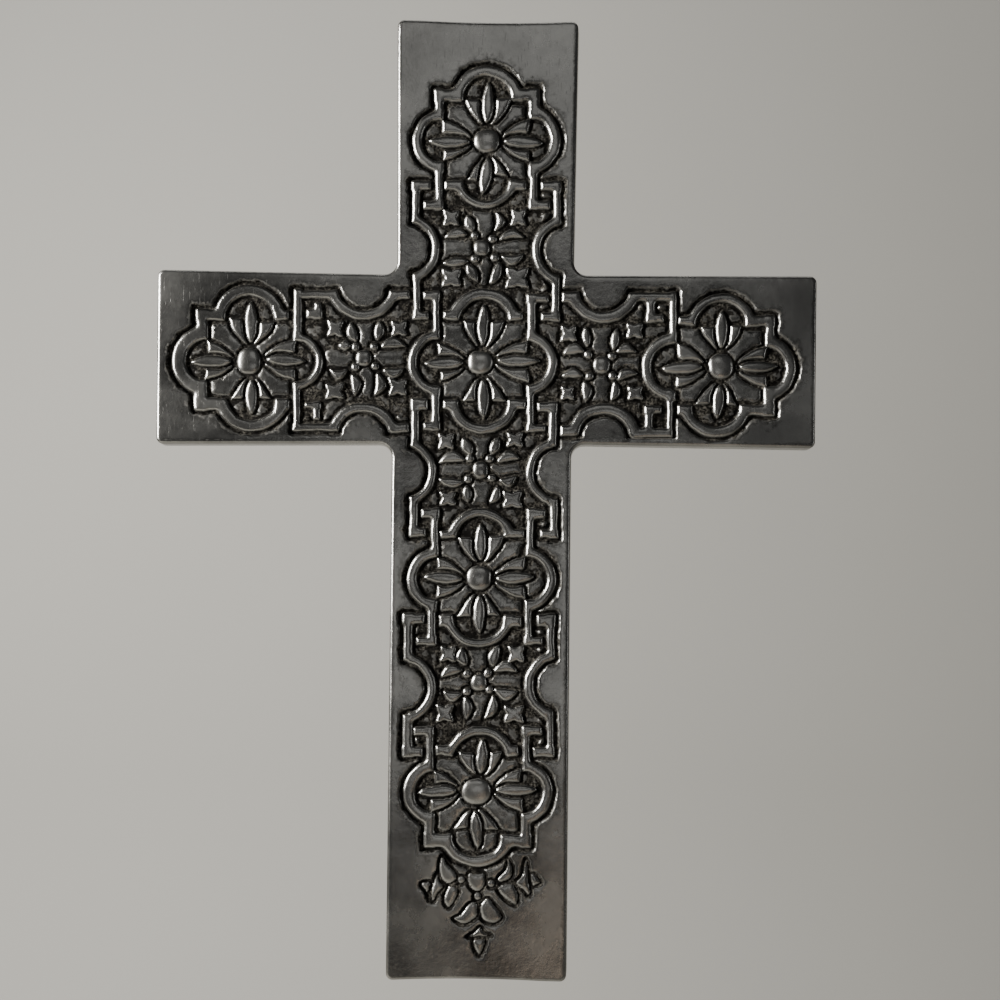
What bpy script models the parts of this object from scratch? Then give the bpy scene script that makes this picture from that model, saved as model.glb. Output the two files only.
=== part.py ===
"""A cast aluminium wall cross with shallow carved strapwork and flowers on its front.

It is one casting. It hangs upright: +Z is up, the carved front faces -Y and the plain back lies at Y = 0.
The origin is on the back face, straight behind the boss at the crossing.

Sizes of the slab are in millimetres. The carving is drawn in modules, where MODULES_ACROSS of them
make up the flat front of the shaft, with "across" to the right and "down" towards the foot.
"""

from collections import namedtuple
from math import cos, pi, radians, sin

import bpy
import numpy as np
from mathutils import Vector
from mathutils.geometry import delaunay_2d_cdt

MM = 0.001

# The slab. Each limb is measured from the crossing boss, with its width where it leaves the crossing and
# at its end.
Limb = namedtuple("Limb", "reach root_width end_width sideways bow")
HEAD = Limb(reach=103.1, root_width=53.8, end_width=55.2, sideways=1.4, bow=0.6)
LEFT_ARM = Limb(reach=97.5, root_width=51.6, end_width=53.2, sideways=0.7, bow=0.0)
FOOT = Limb(reach=186.4, root_width=54.6, end_width=55.1, sideways=0.7, bow=0.6)
RIGHT_ARM = Limb(reach=101.4, root_width=51.6, end_width=52.6, sideways=1.0, bow=0.0)
ROOT_AT = 27.0  # distance from the boss at which root_width is measured

THICKNESS = 5.4
EDGE_RADIUS = 1.1
SIDE_DRAFT = 0.4
BACK_CHAMFER = 0.35
CORNER_RADIUS = 2.4
INNER_RADIUS = 3.6
LEAST_RADIUS = 0.5

# A shallow blind pocket in the back of the head, for a nail.
POCKET_RADIUS = 3.0
POCKET_DEPTH = 2.6
POCKET_BELOW_TOP = 24.0

# The carving's depths and edges.
FLOOR_DEPTH = 0.9
BAND_CROWN_INSET = 0.34
BAND_FOOT_OUTSET = 0.26
BORDER_GAP = 1.35
ROOF_SLOPE_WIDTH = 0.5
PETAL_TOP_DEPTH = 0.1
BOSS_RISE = 0.35
BEAD_TOP_DEPTH = 0.25

# The drawing of the carving.
MODULES_ACROSS = 172
MODULE = (FOOT.root_width - 2 * (EDGE_RADIUS + SIDE_DRAFT)) / MODULES_ACROSS
DRAWING_TILT = radians(0.6)  # the drawing leans this much clockwise, and is turned back on the slab
HEAD_MEDALLION_INSET = 36.5
LEFT_MEDALLION_INSET = 28.05
RIGHT_MEDALLION_INSET = 28.95
FOOT_MEDALLION_INSET = 57.25
SHAFT_MEDALLION_SHARE = 0.502

ARC_STEPS = 8
BOSS_SIDES = 8
BEAD_SIDES = 6
CORNER_STEPS = 3
EDGE_STEPS = 2
END_STEPS = 6
POCKET_SIDES = 16
MERGE = 1e-4
SHARPEST_TIP = 0.35
DOME_RING_SHARE = 0.66

ALUMINIUM_COLOUR = (0.42, 0.42, 0.41, 1.0)
ALUMINIUM_ROUGHNESS = 0.38

FACING = {"right": 0, "up": 90, "left": 180, "down": 270}
OUTWARD = {"right": (1, 0), "up": (0, -1), "left": (-1, 0), "down": (0, 1)}

# A lobe of a medallion's band: the arc's centre from the boss, the band's inner and outer radius, and how far
# it spreads to each side of the way it faces, in degrees. Its ends lie in the bars that it meets.
Lobe = namedtuple("Lobe", "across down inside outside spread", defaults=(90,))
# A strap is the lobes and bars that join up. Between straps there is a groove.
Strap = namedtuple("Strap", "lobes bars")
# A bracket beside a panel: a hook by the upper medallion, a post, an arc, a post, and a hook by the lower.
Bracket = namedtuple("Bracket", "top_hook arc foot_hook")
Medallion = namedtuple("Medallion", "boss lobes straps")

MEDALLIONS = {
    "head": Medallion(
        boss=(13, 12),
        lobes={
            "up": Lobe(0, -40.5, 24, 35),
            "left": Lobe(-44, 0, 21.5, 31),
            "down": Lobe(-1, 36, 24, 31.5, 80),
            "right": Lobe(38, -1, 25.5, 36, 82),
        },
        straps=[
            Strap(
                ["up", "left", "right"],
                [
                    (-52, -52, -44, -21),
                    (-52, -52, -26, -40),
                    (26, -52, 52.5, -40),
                    (42, -52, 52.5, -21),
                    (-52, 21, -44.5, 69),
                    (-64, 60, -44.5, 69),
                    (43, 21, 51, 69),
                    (43, 60, 64, 69),
                ],
            ),
            Strap(["down"], [(-43.5, 40, -24, 50), (22, 40, 40, 50)]),
        ],
    ),
    "centre": Medallion(
        boss=(11.5, 11.5),
        lobes={
            "up": Lobe(4, -37, 26, 37, 80),
            "left": Lobe(-39, 0.5, 24, 33, 86),
            "down": Lobe(3, 37, 25.5, 35, 86),
            "right": Lobe(45, 1, 23, 32, 84),
        },
        straps=[
            Strap(
                ["left"],
                [
                    (-47, -71, -40.5, -24),
                    (-57, -71, -40.5, -63),
                    (-48.5, 25, -40.5, 68),
                    (-57, 60, -40.5, 68),
                ],
            ),
            Strap(
                ["right"],
                [(47.5, -68, 56, -24), (47.5, -68, 69, -60), (47, 23, 54, 70), (47, 63, 66, 70)],
            ),
            Strap(["up"], [(-37, -51, -25, -44), (30, -51, 43, -44)]),
            Strap(["down"], [(-37, 38, -23, 47), (28, 38, 46, 47)]),
        ],
    ),
    "shaft": Medallion(
        boss=(12.5, 12.5),
        lobes={
            "up": Lobe(1.5, -36, 25, 34, 80),
            "left": Lobe(-41, 1, 21.5, 32, 87),
            "down": Lobe(-1, 35, 26.5, 35, 86),
            "right": Lobe(45.5, 1, 22.5, 32, 86),
        },
        straps=[
            Strap(
                ["left"],
                [
                    (-48.5, -69, -41, -22),
                    (-58.5, -69, -41, -60),
                    (-51.5, 22, -43.5, 67),
                    (-63.5, 59, -43.5, 67),
                ],
            ),
            Strap(
                ["right"],
                [(47.5, -69, 54.5, -22), (47.5, -69, 66.5, -59), (45.5, 22, 52.5, 67), (45.5, 59, 63.5, 67)],
            ),
            Strap(["up"], [(-39.5, -48, -25, -40), (25, -48, 45.5, -40)]),
            Strap(["down"], [(-40.5, 38, -27, 49), (24, 38, 42.5, 49)]),
        ],
    ),
    "foot": Medallion(
        boss=(14.5, 13),
        lobes={
            "up": Lobe(4, -28.5, 28, 37, 78),
            "left": Lobe(-41.5, 0.5, 20.5, 32.5, 85),
            "down": Lobe(0.5, 36.5, 28, 39, 78),
            "right": Lobe(44, 0.5, 22, 32.5, 84),
        },
        straps=[
            Strap(
                ["left", "down", "right"],
                [
                    (-50.5, -65.5, -43.5, -22.5),
                    (-63.5, -65.5, -43.5, -56.5),
                    (46.5, -65.5, 53.5, -22.5),
                    (46.5, -65.5, 65.5, -56.5),
                    (-52.5, 22, -42.5, 55.5),
                    (-52.5, 38.5, -24, 55.5),
                    (44.5, 22, 54.5, 55.5),
                    (24, 40.5, 54.5, 55.5),
                ],
            ),
            Strap(["up"], [(-41.5, -46.5, -28, -36.5), (30, -46.5, 42.5, -36.5)]),
        ],
    ),
    "left": Medallion(
        boss=(12, 13.5),
        lobes={
            "up": Lobe(0.5, -40, 25, 37, 86),
            "left": Lobe(-42.5, -1, 21, 35),
            "down": Lobe(3.5, 33.5, 25.5, 37.5, 80),
            "right": Lobe(45.5, 0, 21.5, 28.5, 88),
        },
        straps=[
            Strap(
                ["up", "left", "down"],
                [
                    (-52.5, -52, -41.5, -22),
                    (-52.5, -52, -25, -41),
                    (-54.5, 20, -42.5, 49),
                    (-54.5, 37, -24, 49),
                    (28, -51, 40.5, -42),
                    (26, 39, 40.5, 48),
                ],
            ),
            Strap(["right"], [(45, -73, 53.5, -22), (44.5, 22, 51.5, 69)]),
        ],
    ),
    "right": Medallion(
        boss=(12.5, 13),
        lobes={
            "up": Lobe(0.5, -38, 26, 35, 84),
            "left": Lobe(-45.5, 1, 24, 34),
            "down": Lobe(-5.5, 36, 25, 36, 82),
            "right": Lobe(42.5, 2, 22, 33, 85),
        },
        straps=[
            Strap(
                ["up", "right", "down"],
                [
                    (44.5, -51, 53.5, -22),
                    (25, -51, 53.5, -39),
                    (42.5, 20, 53.5, 50),
                    (20, 39, 53.5, 50),
                    (-43.5, -50, -27, -42),
                    (-44.5, 40, -29, 49),
                ],
            ),
            Strap(["left"], [(-51.5, -75, -44.5, -24), (-54.5, 24, -48.5, 72)]),
        ],
    ),
}

# The panels between medallions, on the shaft: the upper and lower medallion, the boss's offset from halfway,
# and the bracket on each side. Hooks are placed from their medallions and arcs from the panel's boss.
SHAFT_PANELS = [
    (
        "head",
        "centre",
        (-1.5, -3.5),
        [
            Bracket((-75, 40, -56, 49), Lobe(-77, 0.5, 27, 35), (-66.5, -51, -51, -43)),
            Bracket((74.5, 41, 54, 50), Lobe(85, 2.5, 26.5, 35), (80, -49, 61, -41)),
        ],
    ),
    (
        "centre",
        "shaft",
        (1.2, 0),
        [
            Bracket((-69, 37, -52, 48), Lobe(-79, 2, 26, 34), (-70, -50, -53.5, -41)),
            Bracket((77, 40, 57, 50), Lobe(79, 2, 26, 34), (78.5, -48, 60.5, -40)),
        ],
    ),
    (
        "shaft",
        "foot",
        (0.5, -2.2),
        [
            Bracket((-76.5, 36, -54.5, 46), Lobe(-78.5, 5, 27, 36), (-74.5, -45.5, -54.5, -35.5)),
            Bracket((75.5, 37, 57.5, 49), Lobe(80.5, 3, 25.5, 35), (77.5, -45.5, 56.5, -35.5)),
        ],
    ),
]
POST_WIDTH = 8
BRACKET_SPREAD = 72

# The panels on the arms, with their bars and dipping arcs placed from the panel's boss.
ARM_PANELS = [
    (
        "left",
        "centre",
        (-0.7, -5.0),
        [
            Strap(
                [("down", Lobe(-0.5, -74.5, 27, 37)), ("up", Lobe(-0.5, 80.5, 26, 36))],
                [
                    (-70, -67.5, -28, -59.5),
                    (26, -67.5, 46.5, -58.5),
                    (-71.5, 65.5, -30, 73.5),
                    (27, 65.5, 45.5, 75.5),
                ],
            ),
            Strap([], [(-49.5, -55.5, -42.5, -39.5), (-57.5, -48.5, -42.5, -39.5)]),
            Strap([], [(-50.5, 44.5, -43.5, 62), (-59.5, 44.5, -43.5, 50.5)]),
        ],
    ),
    (
        "centre",
        "right",
        (1.2, 1.0),
        [
            Strap(
                [("down", Lobe(2, -79, 26, 37)), ("up", Lobe(2, 75, 26, 37))],
                [
                    (30, -73, 74, -64),
                    (-40, -74, -23, -63),
                    (45, -65, 54, -43),
                    (45, -51, 62, -43),
                    (-42, 60, -26, 71),
                    (29, 63, 71, 73),
                    (43, 41, 51, 65),
                    (43, 41, 60, 48),
                ],
            ),
        ],
    ),
]
ARM_PANEL_SPREAD = 70

# The sunk ground. It runs a little way under the bands round it.
MEDALLION_GROUND_REACH = 46
PANEL_GROUND_START = 44  # from the boss of the medallion at each end
BRACKET_GROUND_SPREAD = 68
ARM_GROUND_OVERLAP = 5  # into the dipping band, from its inner radius

# The flower in a medallion: a lens-shaped petal and two flared ones on each of four sides.
LENS_START, LENS_END, LENS_WIDTH = 18, 58, 13
FLARED_PETAL = [(17, 2.5), (17, 8), (30, 15), (42.5, 22.5), (42.5, 9), (28, 6.5)]

# The small flower in a panel, drawn for one quarter and mirrored.
PANEL_BOSS = 8
PANEL_BEAD = (11, 10, 4.2)
UPRIGHT_LEAF = ((12, 15), (14, 35), 9.5)
SIDE_LEAF = ((14, 12), (40, 9.5), 10.5)
PANEL_STAR = (34, 31, 13)
STAR_WAIST = 0.45

# The spray below the lowest medallion, placed from that medallion's boss.
SPRAY_LEAVES = [
    ((-20, 88), (-35, 62), 12),
    ((-20, 92), (-28, 118), 12),
    ((-35, 92), (-43, 108), 8),
    ((-43, 93), (-56, 92), 9),
    ((21, 92), (31, 68), 12),
    ((20, 92), (42, 113), 15),
    ((40, 92), (49, 67), 7),
    ((52, 92), (64, 88), 9),
    ((40, 92), (53, 104), 7),
    ((1, 108), (-24, 127), 13),
    ((5, 110), (25, 127), 13),
    ((1, 147), (1, 163), 10),
]
SPRAY_BEADS = [(-16.5, 86), (14.5, 90.5), (0.5, 104.5)]
SPRAY_BEAD_RADIUS = 4.2
SPRAY_CAP = [(3.5, 135.5), (14.5, 145), (-5.5, 145.5)]
SPRAY_BOSS = [(-8, 80.5), (9.5, 80.5), (8.5, 94), (1, 100.5), (-6.5, 94)]
SPRAY_GROOVE = 3.5


def clear_scene():
    for old in list(bpy.data.objects):
        bpy.data.objects.remove(old)


def crossing_point(first, second):
    """Where two lines meet. A line is (point, direction)."""
    (p, d), (q, e) = first, second
    cross = d[0] * e[1] - d[1] * e[0]
    along = ((q[0] - p[0]) * e[1] - (q[1] - p[1]) * e[0]) / cross
    return (p[0] + along * d[0], p[1] + along * d[1])


def limb_lines(limb, axis, side, inset):
    """The right edge, the end and the left edge of a limb that points along axis, moved in by inset."""
    slope = (limb.end_width - limb.root_width) / 2 / (limb.reach - ROOT_AT)

    def at(along, across):
        return (axis[0] * along + side[0] * across, axis[1] * along + side[1] * across)

    lines = []
    for sign in (1, -1):
        edge = limb.sideways + sign * (limb.root_width / 2 - inset)
        heading = at(1, sign * slope)
        lines.append((at(ROOT_AT, edge), heading))
    end = (at(limb.reach - inset, limb.sideways), side)
    return lines[0], end, lines[1]


def rounded_corner(before, corner, after, radius, steps):
    """Points of the arc that rounds a corner."""
    first = (Vector(before) - Vector(corner)).normalized()
    last = (Vector(after) - Vector(corner)).normalized()
    half = first.angle(last) / 2
    centre = Vector(corner) + (first + last).normalized() * radius / sin(half)
    start = Vector(corner) + first * radius * cos(half) / sin(half) - centre
    end = Vector(corner) + last * radius * cos(half) / sin(half) - centre
    turn = pi - 2 * half
    points = []
    for step in range(steps + 1):
        share = step / steps
        blend = (start * sin((1 - share) * turn) + end * sin(share * turn)) / sin(turn)
        points.append(tuple(centre + blend))
    return points


def slab_outline(inset):
    """The cross's outline, counter-clockwise in X and Z, moved in by inset.

    Every inset gives the same number of points.
    """
    right, up = (1, 0), (0, 1)
    left, down = (-1, 0), (0, -1)
    limbs = [
        (HEAD, up, right),
        (LEFT_ARM, left, up),
        (FOOT, down, right),
        (RIGHT_ARM, right, up),
    ]
    lines = []
    for limb, axis, side in limbs:
        first, end, last = limb_lines(limb, axis, side, inset)
        turns_left = axis[0] * side[1] - axis[1] * side[0] < 0
        ordered = [first, end, last] if turns_left else [last, end, first]
        lines += ordered
    corners = [crossing_point(lines[i - 1], lines[i]) for i in range(len(lines))]
    points = []
    for i, corner in enumerate(corners):
        inner = i % 3 == 0
        radius = INNER_RADIUS + inset if inner else max(CORNER_RADIUS - inset, LEAST_RADIUS)
        after = corners[(i + 1) % len(corners)]
        points += rounded_corner(corners[i - 1], corner, after, radius, CORNER_STEPS)
        if i % 3 == 1:
            limb, axis, _ = limbs[i // 3]
            points += end_points(corner, after, axis, limb.bow)
    return points


def end_points(start, end, axis, bow):
    """Points along a limb's end, which is hollowed by bow at its middle."""
    points = []
    for step in range(1, END_STEPS):
        share = step / END_STEPS
        hollow = bow * (1 - (2 * share - 1) ** 2)
        x = start[0] + (end[0] - start[0]) * share - axis[0] * hollow
        z = start[1] + (end[1] - start[1]) * share - axis[1] * hollow
        points.append((x, z))
    return points


def medallion_places():
    """Each medallion's boss on the drawing, tied to the slab's ends."""
    head = -(HEAD.reach - HEAD_MEDALLION_INSET) / MODULE
    foot = (FOOT.reach - FOOT_MEDALLION_INSET) / MODULE
    return {
        "head": (7, head),
        "centre": (0, 0),
        "shaft": (-0.5, foot * SHAFT_MEDALLION_SHARE),
        "foot": (-3.5, foot),
        "left": (-(LEFT_ARM.reach - LEFT_MEDALLION_INSET) / MODULE, -1),
        "right": ((RIGHT_ARM.reach - RIGHT_MEDALLION_INSET) / MODULE, 4),
    }


def on_slab(points):
    """Drawing modules to slab millimetres, X and Z, with the drawing's lean taken out."""
    across, down = np.asarray(points, float).T * MODULE
    x = across * cos(DRAWING_TILT) + down * sin(DRAWING_TILT)
    z = across * sin(DRAWING_TILT) - down * cos(DRAWING_TILT)
    return np.column_stack([x, z])


def bar(place, box):
    """A straight piece of band. It is a function that gives the outline, grown by some millimetres."""

    def outline(grow=0.0):
        extra = grow / MODULE
        left, right = sorted((box[0], box[2]))
        top, bottom = sorted((box[1], box[3]))
        corners = [
            (left - extra, top - extra),
            (left - extra, bottom + extra),
            (right + extra, bottom + extra),
            (right + extra, top - extra),
        ]
        return on_slab([(x + place[0], y + place[1]) for x, y in corners])

    return outline


def arc(place, lobe, facing, spread):
    """A curved piece of band, spread to both sides of the way it faces. Its ends grow too."""

    def outline(grow=0.0):
        extra = grow / MODULE
        angles = np.radians(np.linspace(facing - spread, facing + spread, ARC_STEPS + 1))
        ends = np.zeros(ARC_STEPS + 1)
        ends[0], ends[-1] = -extra, extra
        away = np.column_stack([np.cos(angles), -np.sin(angles)])
        along = np.column_stack([-np.sin(angles), -np.cos(angles)]) * ends[:, None]
        centre = (place[0] + lobe.across, place[1] + lobe.down)
        rim = away * (lobe.outside + extra) + along + centre
        inside = away * (lobe.inside - extra) + along + centre
        return on_slab(np.concatenate([rim, inside[::-1]]))

    return outline


def medallion_straps(name, place):
    """The straps of one medallion, each a list of pieces."""
    medallion = MEDALLIONS[name]
    straps = []
    for strap in medallion.straps:
        pieces = []
        for side in strap.lobes:
            lobe = medallion.lobes[side]
            pieces.append(arc(place, lobe, FACING[side], lobe.spread))
        pieces += [bar(place, box) for box in strap.bars]
        straps.append(pieces)
    return straps


def bracket_pieces(bracket, upper, lower, boss):
    """One bracket: hook, post, arc, post and hook. The posts hang from the hooks' outer ends."""
    facing = 0 if bracket.arc.across < 0 else 180
    arc_down = boss[1] + bracket.arc.down
    reach = bracket.arc.inside * sin(radians(BRACKET_SPREAD))
    inward = 1 if bracket.arc.across < 0 else -1
    above = upper[0] + bracket.top_hook[0]
    below = lower[0] + bracket.foot_hook[0]
    top = upper[1] + bracket.top_hook[1]
    foot = lower[1] + bracket.foot_hook[3]
    return [
        bar(upper, bracket.top_hook),
        bar((0, 0), (above, top, above + inward * POST_WIDTH, arc_down - reach)),
        arc(boss, bracket.arc, facing, BRACKET_SPREAD),
        bar((0, 0), (below, arc_down + reach, below + inward * POST_WIDTH, foot)),
        bar(lower, bracket.foot_hook),
    ]


def halfway(first, second, offset):
    return ((first[0] + second[0]) / 2 + offset[0], (first[1] + second[1]) / 2 + offset[1])


def all_straps(places):
    """Every strap on the cross, with the bosses of the panels."""
    straps = []
    bosses = []
    for name, place in places.items():
        straps += medallion_straps(name, place)
    for upper, lower, offset, brackets in SHAFT_PANELS:
        boss = halfway(places[upper], places[lower], offset)
        bosses.append(boss)
        for bracket in brackets:
            straps.append(bracket_pieces(bracket, places[upper], places[lower], boss))
    for first, second, offset, panel_straps in ARM_PANELS:
        boss = halfway(places[first], places[second], offset)
        bosses.append(boss)
        for strap in panel_straps:
            pieces = [arc(boss, lobe, FACING[side], ARM_PANEL_SPREAD) for side, lobe in strap.lobes]
            pieces += [bar(boss, box) for box in strap.bars]
            straps.append(pieces)
    return straps, bosses


def turned(points, direction, place):
    """Points given as (outward, to the side), turned to face one of the four ways and placed."""
    along = OUTWARD[direction]
    side = (abs(along[1]), abs(along[0]))
    return [
        (place[0] + along[0] * out + side[0] * off, place[1] + along[1] * out + side[1] * off)
        for out, off in points
    ]


def leaf_outline(start, end, width):
    """A pointed leaf between two points, with its widest part a little past the middle."""
    start, end = np.array(start, float), np.array(end, float)
    along = end - start
    across = np.array([-along[1], along[0]]) / np.hypot(*along)
    shares = ((0.0, 0.0), (0.28, 0.42), (0.62, 0.5), (1.0, 0.0), (0.62, -0.5), (0.28, -0.42))
    return [tuple(start + along * share + across * width * out) for share, out in shares]


def flower_roofs(name, place):
    """The outlines of the twelve petals of a medallion's flower."""
    roofs = []
    for direction in FACING:
        lobe = MEDALLIONS[name].lobes[direction]
        lean = lobe.across if direction in ("up", "down") else lobe.down
        ends = [(LENS_START, lean), (LENS_END, lean)]
        start, end = turned(ends, direction, place)
        roofs.append(leaf_outline(start, end, LENS_WIDTH))
        for sign in (-1, 1):
            outline = [(out, lean + sign * off) for out, off in FLARED_PETAL]
            roofs.append(turned(outline, direction, place))
    return roofs


def star_outline(centre, reach):
    """A star with four points and hollow sides."""
    points = []
    for corner in range(4):
        for angle, share in ((pi / 4, 1.0), (pi / 2, STAR_WAIST)):
            turn = angle + corner * pi / 2
            points.append((centre[0] + cos(turn) * reach * share, centre[1] + sin(turn) * reach * share))
    return points


def panel_roofs(boss):
    """The outlines of the leaves and stars round a panel's boss. One quarter is drawn, and mirrored."""
    roofs = []
    for right in (-1, 1):
        for below in (-1, 1):
            for leaf in (UPRIGHT_LEAF, SIDE_LEAF):
                start, end = [(boss[0] + right * x, boss[1] + below * y) for x, y in leaf[:2]]
                roofs.append(leaf_outline(start, end, leaf[2]))
            star = (boss[0] + right * PANEL_STAR[0], boss[1] + below * PANEL_STAR[1])
            roofs.append(star_outline(star, PANEL_STAR[2]))
    return roofs


def panel_domes(boss):
    """The panel's boss and its four beads: centre, half width, half height and the depth of the top."""
    domes = [(boss, PANEL_BOSS, PANEL_BOSS, 0.0)]
    across, down, radius = PANEL_BEAD
    for right in (-1, 1):
        for below in (-1, 1):
            centre = (boss[0] + right * across, boss[1] + below * down)
            domes.append((centre, radius, radius, BEAD_TOP_DEPTH))
    return domes


def spray_roofs(place):
    """The leaves of the spray under the lowest medallion."""
    roofs = []
    for start, end, width in SPRAY_LEAVES:
        start, end = [(place[0] + x, place[1] + y) for x, y in (start, end)]
        roofs.append(leaf_outline(start, end, width))
    for outline in (SPRAY_CAP, SPRAY_BOSS):
        roofs.append([(place[0] + x, place[1] + y) for x, y in outline])
    return roofs


def outline_distance(points, outline):
    """Distance from each point to an outline, negative inside it."""
    points = np.asarray(points, float)
    nearest = np.full(len(points), np.inf)
    inside = np.zeros(len(points), bool)
    for start, end in zip(outline, np.roll(outline, -1, axis=0)):
        edge = end - start
        offset = points - start
        share = np.clip(offset @ edge / max(edge @ edge, 1e-12), 0, 1)
        nearest = np.minimum(nearest, np.hypot(*(offset - share[:, None] * edge).T))
        crosses = (start[1] > points[:, 1]) != (end[1] > points[:, 1])
        if crosses.any():
            at = start[0] + (points[:, 1] - start[1]) / (end[1] - start[1] + 1e-12) * edge[0]
            inside ^= crosses & (points[:, 0] < at)
    return np.where(inside, -nearest, nearest)


def wound(outline):
    """The outline counter-clockwise."""
    x, z = np.asarray(outline, float).T
    area = np.sum(x * np.roll(z, -1) - z * np.roll(x, -1))
    return np.asarray(outline, float) if area > 0 else np.asarray(outline, float)[::-1]


def moved_in(outline, by):
    """A counter-clockwise outline with each corner moved in so that its sides move in by this much."""
    before = outline - np.roll(outline, 1, axis=0)
    after = np.roll(outline, -1, axis=0) - outline
    before = before / np.hypot(*before.T)[:, None]
    after = after / np.hypot(*after.T)[:, None]
    inward = np.column_stack([-(before + after)[:, 1], (before + after)[:, 0]])
    share = 1 + np.sum(before * after, axis=1)
    return outline + inward * by / np.maximum(share, SHARPEST_TIP)[:, None]


def merged_edges(outlines):
    """The edges round the union of several outlines, as pairs of points."""
    points = []
    faces = []
    for outline in outlines:
        outline = wound(outline)
        faces.append(list(range(len(points), len(points) + len(outline))))
        points += [Vector(p) for p in outline]
    found, _, triangles, _, _, owners = delaunay_2d_cdt(points, [], faces, 0, MERGE)
    ends = set()
    for triangle, owner in zip(triangles, owners):
        if owner:
            ends |= {(triangle[i - 1], triangle[i]) for i in range(3)}
    return [(tuple(found[a]), tuple(found[b])) for a, b in ends if (b, a) not in ends]


def closed_edges(outline):
    outline = [tuple(p) for p in outline]
    return list(zip(outline, outline[1:] + outline[:1]))


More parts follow.
